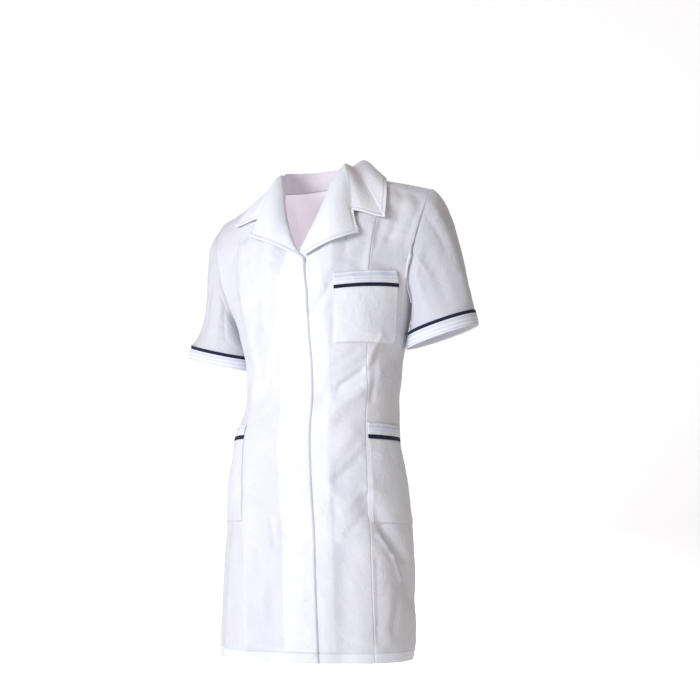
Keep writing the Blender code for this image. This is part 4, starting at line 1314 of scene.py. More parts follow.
@dataclass
class Sleeves:
    """Set-in sleeves with turned-back striped cuffs and braid."""

    sewing: Sewing
    cuff_tilts: Pair = (13.0, 18.0)
    cuff_pitch: float = 8.0
    cuff_raises: Pair = (0.007, 0.003)
    leaves: tuple[Triple, ...] = ((0.52, 0.0, -0.22), (0.49, 0.0, -0.27))
    leave_below: Triple = (0.55, 0.0, -0.45)
    leave_beside: Triple = (0.30, 0.0, -0.70)
    leave_forward: float = 0.22
    leave_reach: float = 1.05
    arrive_reach: float = 0.8
    flares: Pair = (0.0, 1.1)
    root: Triple = (0.17, 0.0, -0.15)
    flatness: Triple = (1.0, 1.0, 0.2)
    cuff_top: Triple = (0.2235, 0.012, -0.291)
    cuff_top_size: Pair = (0.0625, 0.054)
    cuff_bottom: Triple = (0.2245, 0.012, -0.320)
    cuff_bottom_size: Pair = (0.0675, 0.057)
    cuff_depth: float = 0.023
    cuff_zone: float = 0.030
    braid_depth: float = 0.0065
    around_count: int = 132
    down_count: int = 84
    hidden_end: float = 1.96
    hidden_count: int = 10
    band_count: int = 14
    braid_count: int = 6
    top_length: float = 0.25
    girth: float = 0.38
    length: float = 0.27
    wave_seed: int = 23
    wave_lengths: Pair = (0.020, 0.090)
    wave_height: float = 0.0009
    normal_step: float = 0.004

    def armhole(self, around: Array) -> TwoArrays:
        """Armhole edge, from the shoulder tip down the front and up the back, and its normals.

        Args:
            around: shares round it.
        Returns:
            The edge's points and the body's outward directions.
        """
        form = self.sewing.form
        down = form.tip + (2 - form.tip) * around * 2
        column = np.where(around <= 0.5, down, 2 + (2 - form.tip) * (around - 0.5) * 2)
        row = np.full(column.shape, 2.0)
        return form.top_edge(column), form.normal(column, row)

    def cuff_ring(self, centre: tuple, size: tuple, around: Array, side: int) -> Array:
        """Oval at the cuff, from its outer end round the front, tilted out and forward.

        Args:
            centre: its middle.
            size: its half width and half depth.
            around: shares round it.
            side: 1 left, -1 right.
        Returns:
            The points: cosine × half width out, sine × half depth to the front.
        """
        angle = 2 * np.pi * around
        tilt = np.radians(self.cuff_tilts[side < 0])
        out = np.cos(angle) * size[0]
        front = -np.sin(angle) * size[1]
        rise = out * np.sin(tilt) + front * np.tan(np.radians(self.cuff_pitch))
        offset = np.stack([out * np.cos(tilt), front, rise + self.cuff_raises[side < 0]], axis=-1)
        return np.array(centre) + offset

    def point(self, around: Array, down: Array, side: int) -> Array:
        """Sleeve cloth drawn on the left: down is 0 at the armhole, 1 above the cuff, 2 at its hem.

        A cubic leaves the armhole and arrives at the cuff's oval, and creases are bumps
        exp(-(a / width)²) round the sleeve that fade at their ends.

        Args:
            around: shares of the way round, from the outer side to the front.
            down: places down the sleeve, as a grid with around.
            side: 1 left, -1 right.
        Returns:
            The points, on the left whichever the side.
        """
        start, normals = self.armhole(around)
        wave = np.cos(2 * np.pi * around)[..., None]
        swing = np.sin(2 * np.pi * around)[..., None]
        above = np.array(self.leaves[side < 0])
        leave = above * np.clip(wave, 0, 1) + np.array(self.leave_below) * np.clip(-wave, 0, 1)
        leave = leave + np.array(self.leave_beside) * (1 - abs(wave))
        leave = leave + np.array([0.0, -self.leave_forward, 0.0]) * swing
        start = start + normals * self.sewing.wall
        end = self.cuff_ring(self.cuff_top, self.cuff_top_size, around, side)
        hem = self.cuff_ring(self.cuff_bottom, self.cuff_bottom_size, around, side)
        length = np.linalg.norm(end - start, axis=-1)[..., None]
        arrive = unit(hem - end) + np.array([self.flares[side < 0], 0, 0]) * np.clip(wave, 0, 1)
        high = hermite(start, end, leave * length * self.leave_reach,
                       arrive * length * self.arrive_reach, np.clip(down, 0, 1))
        low = end + (hem - end) * np.clip(down - 1, 0, 1)[..., None]
        points = np.where((down > 1)[..., None], low, high)
        depth = np.zeros(down.shape)
        for crease in CREASES:
            share = np.clip((down - crease.from_down) / (crease.to_down - crease.from_down), 0, 1)
            centre = crease.around + (crease.to_around - crease.around) * share
            away = (around - centre + 0.5) % 1 - 0.5
            ends = np.sin(np.pi * share) ** 0.7
            depth += crease.depth * ends * bump(away, crease.width)
        root = np.array(self.root)
        axis = (np.array(self.cuff_top) - root) * np.clip(down, 0, 1)[..., None]
        out = unit((points - axis - root) * np.array(self.flatness))
        return points + out * depth[..., None]

    def grid(self, downs: Array, side: int, lift: float = 0.0) -> TwoArrays:
        """Grid of sleeve points moved out by lift, and the outward directions.

        Args:
            downs: places down the sleeve.
            side: 1 left, -1 right.
            lift: distance out.
        Returns:
            The points and directions.
        """
        around = np.arange(self.around_count) / self.around_count
        arounds, down = np.meshgrid(around, downs)
        points = self.point(arounds, down, side)
        step = self.normal_step
        across = self.point(arounds + step, down, side) - self.point(arounds - step, down, side)
        along = self.point(arounds, np.minimum(down + step, 2), side)
        along = along - self.point(arounds, down - step, side)
        out = unit(np.cross(across, along))
        mirror = np.array([side, 1, 1])
        waves = Waves(self.wave_seed + side, *self.wave_lengths)
        ripple = waves(arounds * self.girth, down * self.length) * self.wave_height
        ripple = ripple * ease(down, 0, 0.2) * (1 - ease(down, 0.85, 1.0))
        return (points + out * (lift + ripple[..., None])) * mirror, out * mirror

    def build(self) -> None:
        """Makes both sleeves, cuffs and braids."""
        band_top = 2 - self.cuff_depth / self.cuff_zone
        braid_low = band_top - TAPE_AIR / self.cuff_zone
        braid_top = braid_low - self.braid_depth / self.cuff_zone
        downs = np.unique(np.concatenate([CLOSE_STEPS / self.top_length,
                                          np.linspace(0, 1, self.down_count),
                                          np.linspace(1, self.hidden_end, self.hidden_count)]))
        for word, side in SIDES:
            flip = side < 0
            points, out = self.grid(downs, side)
            down = arcs(points, 0)
            points = points - out * seam_dip(down)[..., None]
            # The sleeve's darker white is painted shade
            self.sewing.piece(f"sleeve_{word}", points, Slot.WHITE, "sleeve", "white", "hung",
                              f"side_front_{word}", outward=False, wrap=True, flip=flip)
            band_downs = np.linspace(band_top, 2, self.band_count)
            band, out = self.grid(band_downs, side, PLY)
            share = (band_downs - band_top) / (2 - band_top)
            share = np.broadcast_to(share[:, None], band.shape[:2])
            band = band + out * band_puff(share)[..., None]
            braid_downs = np.linspace(braid_top, braid_low, self.braid_count)
            braid = self.grid(braid_downs, side, PLY)[0]
            tape = self.sewing.piece(f"cuff_braid_{word}", braid, Slot.NAVY, "braid", "braid", "",
                                     f"sleeve_{word}", wrap=True, flip=flip)
            # The cuff's inner side glows: painted light through the thin cloth
            self.sewing.piece(f"cuff_{word}", band, Slot.STRIPED, "cuff", "painted_glow_cuff_inside",
                              "stretched", f"sleeve_{word}", wrap=True, flip=flip,
                              marks={"band": share}, trims=(tape,))


@dataclass
class Lapels:
    """The fronts turned back along the roll line, from the break point to the gorge."""

    sewing: Sewing
    shell: TwoArrays
    tips: tuple[Pair, ...] = ((0.104, -0.140), (0.103, -0.113))
    notches: tuple[Pair, ...] = ((0.092, -0.098), (0.084, -0.081))
    tip_share: float = 0.74
    notch_across: float = 0.70
    beds: Pair = (0.0050, 0.0043)
    lift: float = 0.0016
    start_widths: Pair = (0.010, 0.004)
    lap: float = 0.0016
    wall: float = 0.0015
    starts: Pair = (0.12, 0.0)
    start_bed: float = 0.15
    bed_rise: float = 0.3
    lap_fade: Pair = (0.4, 0.95)
    edge_places: int = 12
    gorge_pull: float = 0.12
    forward: Triple = (0.25, -1.0, 0.35)
    leave_forward: float = 0.5
    leave_across: float = 0.6
    stitch_inset: float = 0.006
    seam_depth: float = 0.0008
    coarse_counts: tuple[int, int] = (16, 11)
    counts: tuple[int, int] = (90, 41)
    lift_share: float = 0.2
    blur: float = 0.010
    bend_columns: int = 8
    bend_bulge: float = 0.7

    def clearance(self, along: Array, side: int) -> Array:
        """Distance from the body's cloth to the lapel's underside, least at the break point."""
        share = self.start_bed + (1 - self.start_bed) * ease(along, 0, self.bed_rise)
        return self.sewing.wall + SEAM_AIR + self.beds[side < 0] * share

    def on_front(self, outline: Array, lift: Array, side: int) -> Array:
        """Places on the front's cloth at drawn x and height, moved out by a lift each.

        Args:
            outline: x and height of each place.
            lift: distance out.
            side: 1 left, -1 right.
        Returns:
            The points.
        """
        form = self.sewing.form
        # The search starts from columns 0.17 m wide and a row that falls by 1 in a metre
        column, row = form.locate(outline, Measure.FRONT_VIEW, outline[:, 0] / 0.17,
                                  1.4 + outline[:, 1])
        points, facing = form.cloth(column, row, side)
        return points + facing * lift[:, None]

    def sheet(self, along: Array, across: Array, side: int) -> Array:
        """Lapel points without laying: cubics from the roll line to the drawn lower edge.

        The lower edge is a cubic fitted to places on the front, so that the lapel bridges small
        hollows. Rows past the tip fan from the roll line to the tip, and the last one bends
        through the notch: its first part is the gorge seam and the rest is the lapel's free end.

        Args:
            along: rising to 1, 0 at the break point and 1 at the gorge.
            across: 0 at the roll line, 1 at the outer edge.
            side: 1 left, -1 right.
        Returns:
            The points.
        """
        roll = curve(ROLL_LINE, along) * np.array([side, 1, 1])
        start = np.array([ROLL_LINE[0][0] + self.start_widths[side < 0], ROLL_LINE[0][2]])
        tip = np.array(self.tips[side < 0])
        knots = np.linspace(0, 1, self.edge_places)
        lifts = self.clearance(knots * self.tip_share, side) + self.lift
        if side < 0:
            lifts = lifts + self.lap * (1 - ease(knots, *self.lap_fade))
        drawn = self.on_front(start + (tip - start) * knots[:, None], lifts, side)
        bend = np.polynomial.polynomial.polyfit(knots, drawn, 3)
        full = self.clearance(along, side)
        notch = np.array([self.notches[side < 0]])
        wanted = self.on_front(notch, full[-1:] + self.lift, side)[0]
        below = np.clip(along / self.tip_share, 0, 1)
        above = np.clip((along - self.tip_share) / (1 - self.tip_share), 0, 1)[:, None]
        edge = np.polynomial.polynomial.polyval(below, bend).T
        edge = edge + (wanted - drawn[-1]) * self.gorge_pull * above
        forward = unit(np.array(self.forward) * np.array([side, 1, 1]))
        rise = roll + forward * full[:, None]
        width = np.linalg.norm(edge - rise, axis=-1)[:, None]
        leave = forward * width * self.leave_forward + (edge - rise) * self.leave_across
        places = np.broadcast_to(across, (len(along), len(across)))
        points = hermite(rise[:, None], edge[:, None], leave[:, None],
                         (edge - rise)[:, None], places)
        notch_at = self.notch_across
        here = np.stack([np.interp(notch_at, across, points[-1, :, axis]) for axis in range(3)])
        tent = np.minimum(across / notch_at, (1 - across) / (1 - notch_at))
        return points + (above ** 2 * tent)[..., None] * (wanted - here)

    def grid(self, side: int) -> Array:
        """The whole lapel, laid on the body and joined to the front by a soft bend.

        The bend is half a circle from the front's edge out to the lapel's own start.

        Args:
            side: 1 left, -1 right.
        Returns:
            The points, rows from break to gorge and columns from the bend to the edge.
        """
        start = self.starts[side < 0]
        coarse_along = np.linspace(start, 1, self.coarse_counts[0])
        coarse_along = np.sort(np.append(coarse_along, self.tip_share))
        coarse_across = np.linspace(0, 1, self.coarse_counts[1])
        coarse = self.sheet(coarse_along, coarse_across, side)
        lift = self.clearance(coarse_along, side)[:, None]
        lift = lift + self.lift * ease(coarse_across, 0, self.lift_share)
        moves = lay(coarse, lift, self.shell, self.blur)
        along = np.linspace(start, 1, self.counts[0])
        along = np.unique(np.append(along, self.tip_share))
        across = np.linspace(0, 1, self.counts[1])
        points = self.sheet(along, across, side)
        rows = np.interp(along, coarse_along, np.arange(len(coarse_along)))
        tip = int(np.searchsorted(coarse_along, self.tip_share))
        columns = across * (len(coarse_across) - 1)
        points = points + resample_in_two(moves, tip, rows, columns)
        roll = curve(ROLL_LINE, along) * np.array([side, 1, 1])
        first = points[:, 0]
        toward = unit(points[:, 2] - points[:, 0])
        angle = np.linspace(-np.pi / 2, np.pi / 2, self.bend_columns + 1)[:-1]
        middle = (roll + first) / 2
        radius = np.linalg.norm(first - roll, axis=-1)[:, None, None] / 2
        arm = unit(first - roll)
        back = np.cos(angle)[:, None] * toward[:, None] * self.bend_bulge
        bend = middle[:, None] + radius * (np.sin(angle)[:, None] * arm[:, None] - back)
        return np.concatenate([bend, points], axis=1)

    def build(self) -> dict[int, Array]:
        """Makes both lapels.

        Returns:
            Each lapel's gorge row without the bend, by side.
        """
        gorges = {}
        for word, side in SIDES:
            points = self.grid(side)
            notch = self.bend_columns + round(self.notch_across * (self.counts[1] - 1))
            gorges[side] = points[-1, self.bend_columns:notch + 1]
            edge = np.concatenate([points[:, -1], points[-1, :notch - 1:-1]])
            gap, run = gap_to(points, edge)
            normals = grid_normals(points) * side
            seam = arcs(points, 0)[-1:] - arcs(points, 0)
            seam[:, notch:] = 1.0
            relief = edge_ridge(gap) - seam_dip(seam, self.seam_depth)
            points = points + normals * relief[..., None]
            self.sewing.piece(f"lapel_{word}", points, Slot.WHITE, "collar", "collar", "folded",
                              f"front_{word}", wall=self.wall, flip=side < 0,
                              marks={"stitch": gap - self.stitch_inset, "run": run,
                                     "plies": np.ones(gap.shape)})
        return gorges


@dataclass
class Collar:
    """The collar in one piece: a stand round the neck and the fall turned over it."""

    sewing: Sewing
    shell: TwoArrays
    stand_share: float = 0.34
    tip_along: float = 0.82
    lift: float = 0.0050
    gorge_lift: float = 0.6
    still_along: float = 0.94
    wall: float = 0.0015
    seam_rise: float = 0.0010
    gorge_rise: float = 0.0008
    roll_reaches: Pair = (0.35, 0.7)
    leave_across: float = 0.3
    arrive_reach: float = 1.2
    stitch_inset: float = 0.006
    seam_depth: float = 0.0008
    ply_fade: Pair = (0.08, 0.06)
    coarse_counts: tuple[int, int] = (18, 9)
    counts: tuple[int, int, int] = (120, 18, 46)

    def surface(self, along: Array, down: Array, side: int, gorge: Array) -> TwoArrays:
        """Collar points of one half before laying.

        A cubic stands up from the neck seam to the roll line and another falls from it to the
        outer edge, which runs straight from the tip to the notch. Towards the gorge the fall
        blends into the lapel's last row.

        Args:
            along: 0 at centre back, 1 at the gorge, as a grid.
            down: 0 at the neck seam, 1 at the outer edge, as a grid.
            side: 1 left, -1 right.
            gorge: the lapel's gorge row.
        Returns:
            The standing part's and the falling part's points.
        """
        form = self.sewing.form
        split = (1 + form.neck - form.gorge) / 2
        front = form.neck - (form.neck - form.gorge) * (along - split) / (1 - split)
        column = np.where(along < split, 4 - form.neck * along / split, front)
        mirror = np.array([side, 1, 1])
        share = np.clip((down - self.stand_share) / (1 - self.stand_share), 0, 1)
        places = share[:, 0] * (len(gorge) - 1)
        numbers = np.arange(len(gorge))
        last = np.stack([np.interp(places, numbers, gorge[:, axis]) for axis in range(3)], -1)
        last = last[:, None] * mirror
        near_gorge = ease(along, self.tip_along, 1)[..., None]
        up = np.array([0, 0, 1])
        seam = form.top_edge(column) + up * (self.seam_rise + self.gorge_rise * near_gorge)
        table = COLLARS[side]
        roll = np.stack([smooth(table, f"roll_{axis}", along) for axis in "xyz"], axis=-1)
        roll = roll + (last[:1] - roll[:, -1:]) * near_gorge
        edge = np.stack([smooth(table[:-1], f"edge_{axis}", along) for axis in "xyz"], axis=-1)
        tip, notch = (np.array(place[4:7]) for place in table[-2:])
        past = np.clip((along - self.tip_along) / (1 - self.tip_along), 0, 1)[..., None]
        edge = np.where(past > 0, tip + (notch - tip) * past, edge)
        outward = unit((edge - roll) * np.array([1, 1, 0]))
        height = np.linalg.norm(roll - seam, axis=-1)[..., None]
        upright = hermite(seam, roll, roll - seam, outward * height * self.roll_reaches[0],
                          np.clip(down / self.stand_share, 0, 1))
        leave = outward * height * self.roll_reaches[1] + (edge - roll) * self.leave_across
        falling = hermite(roll, edge, leave, (edge - roll) * self.arrive_reach, share)
        falling = falling + (last - falling[:, -1:]) * near_gorge
        return upright * mirror, falling * mirror

    def half(self, side: int, gorge: Array) -> Array:
        """One half of the collar, laid on the body, from centre back to the gorge.

        Args:
            side: 1 left, -1 right.
            gorge: the lapel's gorge row.
        Returns:
            The points, rows from the neck seam to the outer edge.
        """
        alongs = np.sort(np.append(np.linspace(0, 1, self.coarse_counts[0]), self.tip_along))
        downs = np.append(0, np.linspace(self.stand_share, 1, self.coarse_counts[1]))
        coarse_along, coarse_down = np.meshgrid(alongs, downs)
        falling = self.surface(coarse_along, coarse_down, side, gorge)[1]
        near_gorge = ease(coarse_along, self.tip_along, 1)
        lift = self.lift * (1 - (1 - self.gorge_lift) * near_gorge)
        lift = self.sewing.wall + SEAM_AIR + lift
        moves = lay(falling, lift * (coarse_down > self.stand_share), self.shell)
        moves = moves * (1 - ease(coarse_along, self.still_along, 1))[..., None]
        fine_along = np.unique(np.append(np.linspace(0, 1, self.counts[0]), self.tip_along))
        fine_down = np.concatenate([np.linspace(0, self.stand_share, self.counts[1])[:-1],
                                    np.linspace(self.stand_share, 1, self.counts[2])])
        along, down = np.meshgrid(fine_along, fine_down)
        upright, falling = self.surface(along, down, side, gorge)
        rows = 1 + np.interp(fine_down, downs[1:], np.arange(len(downs) - 1))
        columns = np.interp(fine_along, alongs, np.arange(len(alongs)))
        tip = int(np.searchsorted(alongs, self.tip_along))
        moves = resample_in_two(moves.swapaxes(0, 1), tip, columns, rows)
        falling = falling + moves.swapaxes(0, 1)
        return np.where((down > self.stand_share)[..., None], falling, upright)

    def build(self, gorges: dict[int, Array]) -> None:
        """Makes the collar from both halves.

        Args:
            gorges: each lapel's gorge row, by side.
        """
        left = self.half(1, gorges[1])
        right = self.half(-1, gorges[-1])
        points = np.concatenate([right[:, :0:-1], left], axis=1)
        gap, run = gap_to(points, points[-1])
        normals = -grid_normals(points)
        across = arcs(points, 1)
        seam = np.minimum(across, across[:, -1:] - across)
        relief = edge_ridge(gap) - seam_dip(seam, self.seam_depth)
        points = points + normals * relief[..., None]
        down = arcs(points, 0)
        fall = ease(down / down[-1:], self.stand_share - self.ply_fade[0],
                    self.stand_share + self.ply_fade[1])
        self.sewing.piece("collar", points, Slot.WHITE, "collar_leaf", "collar_leaf", "folded",
                          "back", wall=self.wall, flip=True,
                          marks={"stitch": gap - self.stitch_inset, "run": run, "plies": fall})


@dataclass
class Pockets:
    """Chest pocket on the wearer's left and the two hip pockets, each with band and braid."""

    sewing: Sewing
    chest_left: float = 0.0730
    chest_right_top: float = 66.0
    chest_right_bottom: float = 76.0
    chest_top: float = -0.2085
    chest_bottom: float = -0.327
    chest_rise: float = 0.007
    chest_band: float = 0.020
    chest_braid: float = 0.0060
    hip_start: float = 1.03
    hip_end: float = 1.97
    hip_top_row: float = 12 / 18
    hip_bottom_row: float = 7 / 18
    hip_band: float = 0.020
    hip_braid: float = 0.0075
    beds: Pair = (0.0016, 0.0006)
    # Hip pockets take the darker side white: painted shade
    finishes: tuple[tuple[str, float], ...] = (("white", 0.9), ("side", 0.25))
    step: float = 0.0022
    edge_steps: tuple[float, ...] = (0.001, 0.002)
    chest_columns: int = 48
    hip_columns: int = 40
    band_rows: int = 12
    braid_rows: int = 6
    edge_width: float = 0.0016
    puff: float = 0.25
    puff_inset: float = 0.004
    puff_width: float = 0.003
    stitch_inset: float = 0.0015

    def chest_patch(self, heights: Array, lift: Array | float) -> Array:
        """Grid on the chest between the pocket's two side edges, moved out by lift.

        Args:
            heights: heights at the pocket's left edge.
            lift: distance out.
        Returns:
            The points, in rows that rise with the mouth's slope.
        """
        form = self.sewing.form
        across, height = np.meshgrid(np.linspace(0, 1, self.chest_columns), heights)
        down = (self.chest_top - height) / (self.chest_top - self.chest_bottom)
        height = height + self.chest_rise * across * (1 - down)
        left = np.degrees(np.arcsin(self.chest_left / RINGS[-2].half_width))
        right = self.chest_right_top + (self.chest_right_bottom - self.chest_right_top) * down
        angle = left + (right - left) * across
        wanted = np.stack([np.radians(angle) * UNROLL_RADIUS, height], axis=-1)
        # The search starts from seams at 0, 43 and 90 degrees and rows 0.25 m high
        column = np.interp(angle, (0, 43, 90), (0, 1, 2))
        row = 1 + (height - form.chest) / 0.25
        column, row = form.locate(wanted, Measure.ANGLE_HEIGHT, column, row)
        return form.cloth(column, row, 1, lift)[0]

    def hip_patch(self, heights: Array, lift: Array | float, side: int) -> Array:
        """Grid on a side front between the pocket's ends, moved out by lift.

        Args:
            heights: heights of the rows.
            lift: distance out.
            side: 1 left, -1 right.
        Returns:
            The points.
        """
        form = self.sewing.form
        columns = np.linspace(self.hip_start, self.hip_end, self.hip_columns)
        column, height = np.meshgrid(columns, heights)
        row = (height - form.hem) / (form.chest - form.hem)
        return form.cloth(column, row, side, lift)[0]

    def rim(self, points: Array) -> TwoArrays:
        """Gap to the pocket's sides and bottom, and the run along them."""
        line = np.concatenate([points[::-1, 0], points[0, 1:], points[1:, -1]])
        return gap_to(points, line)

    def pocket(self, prefix: str, suffix: str, patch: Callable[..., Array], top: float,
               bottom: float, band: float, braid: float, rests_on: str, flip: bool) -> None:
        """A patch pocket, its striped band and its braid.

        Args:
            prefix: first part of the solids' names.
            suffix: last part of their names.
            patch: gives the grid at some heights and lift.
            top: height of the mouth.
            bottom: height of the lower edge.
            band: depth of the band.
            braid: depth of the braid.
            rests_on: panel that carries it.
            flip: whether the grid is mirrored.
        """
        wall = self.sewing.wall
        on_hip = prefix == "hip_pocket"
        bed = self.beds[on_hip]
        first = wall + bed
        second = first + wall + TAPE_AIR
        heights = np.linspace(bottom, top, int((top - bottom) / self.step))
        heights = np.unique(np.append(heights, bottom + np.array(self.edge_steps)))
        points = patch(heights, first)
        gap, run = self.rim(points)
        outward = -1 if flip else 1
        relief = self.puff * bed * bump(gap - self.puff_inset, self.puff_width)
        relief = relief - bed * bump(gap, self.edge_width)
        points = points + grid_normals(points) * outward * relief[..., None]
        finish, plies = self.finishes[on_hip]
        self.sewing.piece(f"{prefix}{suffix}", points, Slot.WHITE, finish, "white", "laid",
                          rests_on, flip=flip,
                          marks={"stitch": gap - self.stitch_inset, "run": run,
                                 "plies": np.full(gap.shape, plies)})
        low = top - band
        strip = patch(np.linspace(low, top, self.band_rows), second)
        share = np.linspace(1, 0, self.band_rows)[:, None]
        share = np.broadcast_to(share, strip.shape[:2])
        strip = strip + grid_normals(strip) * outward * band_puff(share)[..., None]
        braid_top = low - TAPE_AIR
        tape = patch(np.linspace(braid_top - braid, braid_top, self.braid_rows), second)
        ribbon = self.sewing.piece(f"{prefix}_braid{suffix}", tape, Slot.NAVY, "braid", "braid", "",
                                   f"{prefix}{suffix}", flip=flip)
        self.sewing.piece(f"{prefix}_band{suffix}", strip, Slot.STRIPED, "band", "band", "laid",
                          f"{prefix}{suffix}", flip=flip, marks={"band": share}, trims=(ribbon,))

    def build(self) -> None:
        """Makes the three pockets."""
        self.pocket("chest_pocket", "", self.chest_patch, self.chest_top, self.chest_bottom,
                    self.chest_band, self.chest_braid, "side_front_left", False)
        form = self.sewing.form
        top = form.hem + (form.chest - form.hem) * self.hip_top_row
        bottom = form.hem + (form.chest - form.hem) * self.hip_bottom_row
        for word, side in SIDES:
            self.pocket("hip_pocket", f"_{word}", partial(self.hip_patch, side=side), top, bottom,
                        self.hip_band, self.hip_braid, f"side_front_{word}", side < 0)


@dataclass
class Studio:
    """Pale floor that curves up behind, soft lights and the camera at the photograph's angle."""

    floor: float = -1.10
    floor_depths: Pair = (-4.0, 2.0)
    floor_half: float = 5.0
    bend_radius: float = 1.5
    wall_top: float = 4.5
    paper: Colour = (0.92, 0.92, 0.93, 1.0)
    lens: float = 56.8
    azimuth: float = 20.0
    distance: float = 2.1
    eye_height: float = -0.6745
    target: Triple = (0.0, 0.0, -0.4)
    ambient: float = 0.37
    ambient_colour: Colour = (1.0, 0.94, 0.89, 1.0)
    seen_colour: Colour = (0.96, 0.96, 0.97, 1.0)
    key: float = 62.0
    key_place: Triple = (-0.95, -2.75, 0.0)
    key_size: float = 1.1
    key_colour: Triple = (0.86, 0.91, 1.0)
    fill: float = 40.0
    fill_place: Triple = (-0.9, 2.7, 0.4)
    fill_size: float = 1.6
    least_glow: float = 0.12
    paper_glow: float = 0.38
    shift_x: float = 0.0357
    shift_y: float = 0.2714

    def backdrop(self) -> None:
        """Floor and wall in one sheet: a level line, a quarter circle and a rising line."""
        near, far = self.floor_depths
        radius = self.bend_radius
        angle = np.linspace(0, np.pi / 2, 16)[1:]
        bend = np.stack([far + radius * np.sin(angle), radius - radius * np.cos(angle)], axis=-1)
        profile = np.concatenate([[[near, 0], [far, 0]], bend, [[far + radius, self.wall_top]]])
        turn = np.radians(self.azimuth)
        half = self.floor_half
        wide, place = np.meshgrid([-half, half], np.arange(len(profile)))
        y = profile[place][..., 0]
        points = np.stack([wide * np.cos(turn) - y * np.sin(turn),
                           wide * np.sin(turn) + y * np.cos(turn),
                           self.floor + profile[place][..., 1]], axis=-1)
        numbers = np.arange(points[..., 0].size).reshape(points.shape[:2])
        mesh = bpy.data.meshes.new("backdrop")
        mesh.from_pydata(points.reshape(-1, 3), [], quad_corners(numbers).reshape(-1, 4))
        mesh.shade_smooth()
        material, shader, surface = new_material("backdrop_paper")
        seen = shader.add("ShaderNodeLightPath").outputs["Is Camera Ray"]
        glow = shader.math("MULTIPLY_ADD", seen, self.paper_glow, self.least_glow)
        shader.feed(surface, {"Base Color": self.paper, "Roughness": 0.9,
                              "Emission Color": (1, 1, 1, 1), "Emission Strength": glow})
        mesh.materials.append(material)
        paper = bpy.data.objects.new("backdrop", mesh)
        bpy.context.scene.collection.objects.link(paper)

    def lamp(self, name: str, place: tuple, size: float, power: float,
             colour: tuple = (1.0, 1.0, 1.0)) -> None:
        """A square soft light at a place, aimed at the studio's target.

        Args:
            name: the lamp's name.
            place: where it stands.
            size: its side, in metres.
            power: its power, in watts.
            colour: its colour.
        """
        light = bpy.data.lights.new(name, "AREA")
        light.size = size
        light.energy = power
        light.color = colour
        lamp = bpy.data.objects.new(name, light)
        aim = np.array(self.target) - np.array(place)
        flat = float(np.hypot(aim[0], aim[1]))
        lamp.location = place
        lamp.visible_camera = False
        lamp.rotation_euler = (float(np.arctan2(flat, -aim[2])), 0.0,
                               float(np.arctan2(-aim[0], aim[1])))
        bpy.context.scene.collection.objects.link(lamp)

    def camera(self) -> None:
        """The level camera, turned to the photograph's angle."""
        turn = np.radians(self.azimuth)
        data = bpy.data.cameras.new("camera")
        data.lens = self.lens
        data.sensor_width = 36.0
        data.shift_x = self.shift_x
        data.shift_y = self.shift_y
        camera = bpy.data.objects.new("camera", data)
        camera.location = (self.distance * np.sin(turn), -self.distance * np.cos(turn),
                           self.eye_height)
        camera.rotation_euler = (np.pi / 2, 0.0, turn)
        bpy.context.scene.collection.objects.link(camera)
        bpy.context.scene.camera = camera

    def build(self) -> None:
        """Makes the backdrop, the world, the lights and the camera."""
        scene = bpy.context.scene
        scene.view_settings.view_transform = "Standard"
        world = bpy.data.worlds.new("soft_room")
        world.use_nodes = True
        shader = Shader(world.node_tree)
        background = world.node_tree.nodes["Background"]
        seen = shader.add("ShaderNodeLightPath").outputs["Is Camera Ray"]
        colour = shader.mix(seen, self.ambient_colour, self.seen_colour)
        strength = shader.math("MULTIPLY_ADD", seen, 1 - self.ambient, self.ambient)
        shader.feed(background, {"Color": colour, "Strength": strength})
        scene.world = world
        self.backdrop()
        self.lamp("key", self.key_place, self.key_size, self.key, self.key_colour)
        self.lamp("back_fill", self.fill_place, self.fill_size, self.fill)
        self.camera()


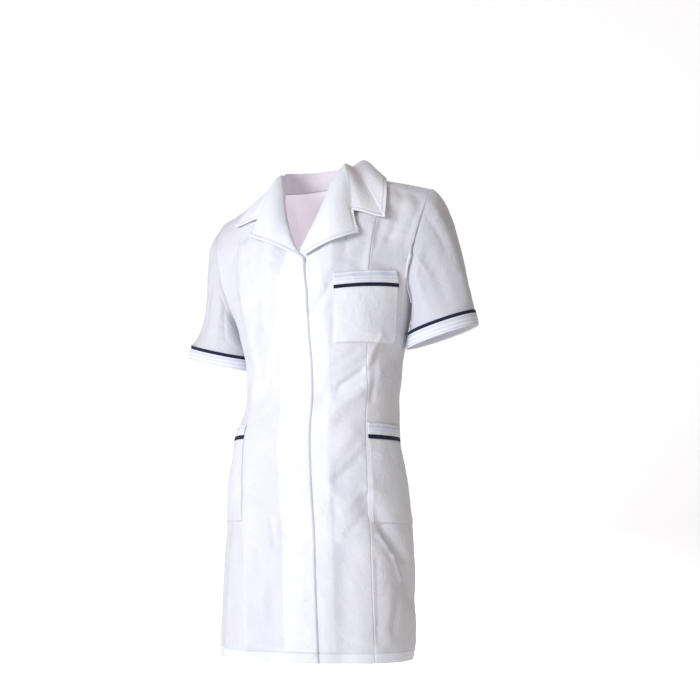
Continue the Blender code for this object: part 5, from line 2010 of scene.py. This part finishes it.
def make_finishes(effects: Effects) -> dict[str, Material]:
    """Every finish's material.

    Args:
        effects: the shared shader groups.
    Returns:
        The materials, by the key that the pieces use.
    """
    white = (0.89, 0.90, 0.93, 1.0)
    # Pink painted light: a cast on the white cloth that stands in for light coming through the thin
    # cloth inside the neck
    painted_light_pink = (0.93, 0.86, 0.92, 1.0)
    band_stripes = ((0.20, 0.44, 0.70, 0.75, 0.86), (0.58, 0.70, 0.76, 0.80, 0.89),
                    (0.84, 0.93, 0.78, 0.81, 0.90))
    cuff_stripes = ((0.12, 0.30, 0.72, 0.75, 0.82), (0.48, 0.60, 0.74, 0.77, 0.84),
                    (0.80, 0.90, 0.72, 0.75, 0.81))
    finishes = {
        "white": ClothFinish("white_poplin", (0.80, 0.80, 0.835, 1.0), white),
        # Painted shade: the side panels, back and hip pockets take a darker, greyer white than the
        # fronts, though the cloth is the same
        "side": ClothFinish("white_poplin_side_painted_shade", (0.77, 0.762, 0.782, 1.0), white),
        # Painted shade: the sleeves take a darker white than the body, though the cloth is the same
        "sleeve": ClothFinish("white_poplin_sleeve_painted_shade", (0.695, 0.685, 0.715, 1.0), white),
        "collar": ClothFinish("white_poplin_two_ply", white, white),
        # The collar's stand is pink: painted light coming through the thin cloth; its fall is a
        # brighter white
        "collar_leaf": ClothFinish("white_poplin_collar_painted_light", painted_light_pink, (0.96, 0.95, 0.98, 1.0)),
        # Painted light: the inside of the back and side backs glows pink, standing in for light
        # coming through the thin cloth
        "painted_glow_neck_inside": ClothFinish("white_poplin_neck_inside", painted_light_pink, painted_light_pink, glow=0.30),
        # Painted light: the cuff's inner side glows, standing in for light coming through the thin
        # cloth
        "painted_glow_cuff_inside": ClothFinish("white_poplin_cuff_inside", white, white, glow=0.30),
        "band": ClothFinish("pocket_band", white, white, stripes=band_stripes),
        "cuff": ClothFinish("cuff_band", white, white, stripes=cuff_stripes),
        "braid": BraidFinish("navy_braid", (0.009, 0.009, 0.038, 1.0)),
    }
    return {key: finish.build(effects) for key, finish in finishes.items()}


def main() -> None:
    """Builds the garment's pieces in order, then the studio."""
    logging.basicConfig(level=logging.INFO, format="%(name)s: %(message)s")
    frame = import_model()
    form = BodyForm()
    sewing = Sewing(form, make_finishes(Effects()))
    BodyPanels(sewing).build()
    Sleeves(sewing).build()
    shell = form.samples()
    gorges = Lapels(sewing, shell).build()
    Collar(sewing, shell).build(gorges)
    Pockets(sewing).build()
    Studio().build()
    LOG.info("%d pieces over %d solids", len(sewing.pieces), len(frame["nodes"]))
    bpy.context.view_layer.update()


if __name__ == "__main__":
    main()
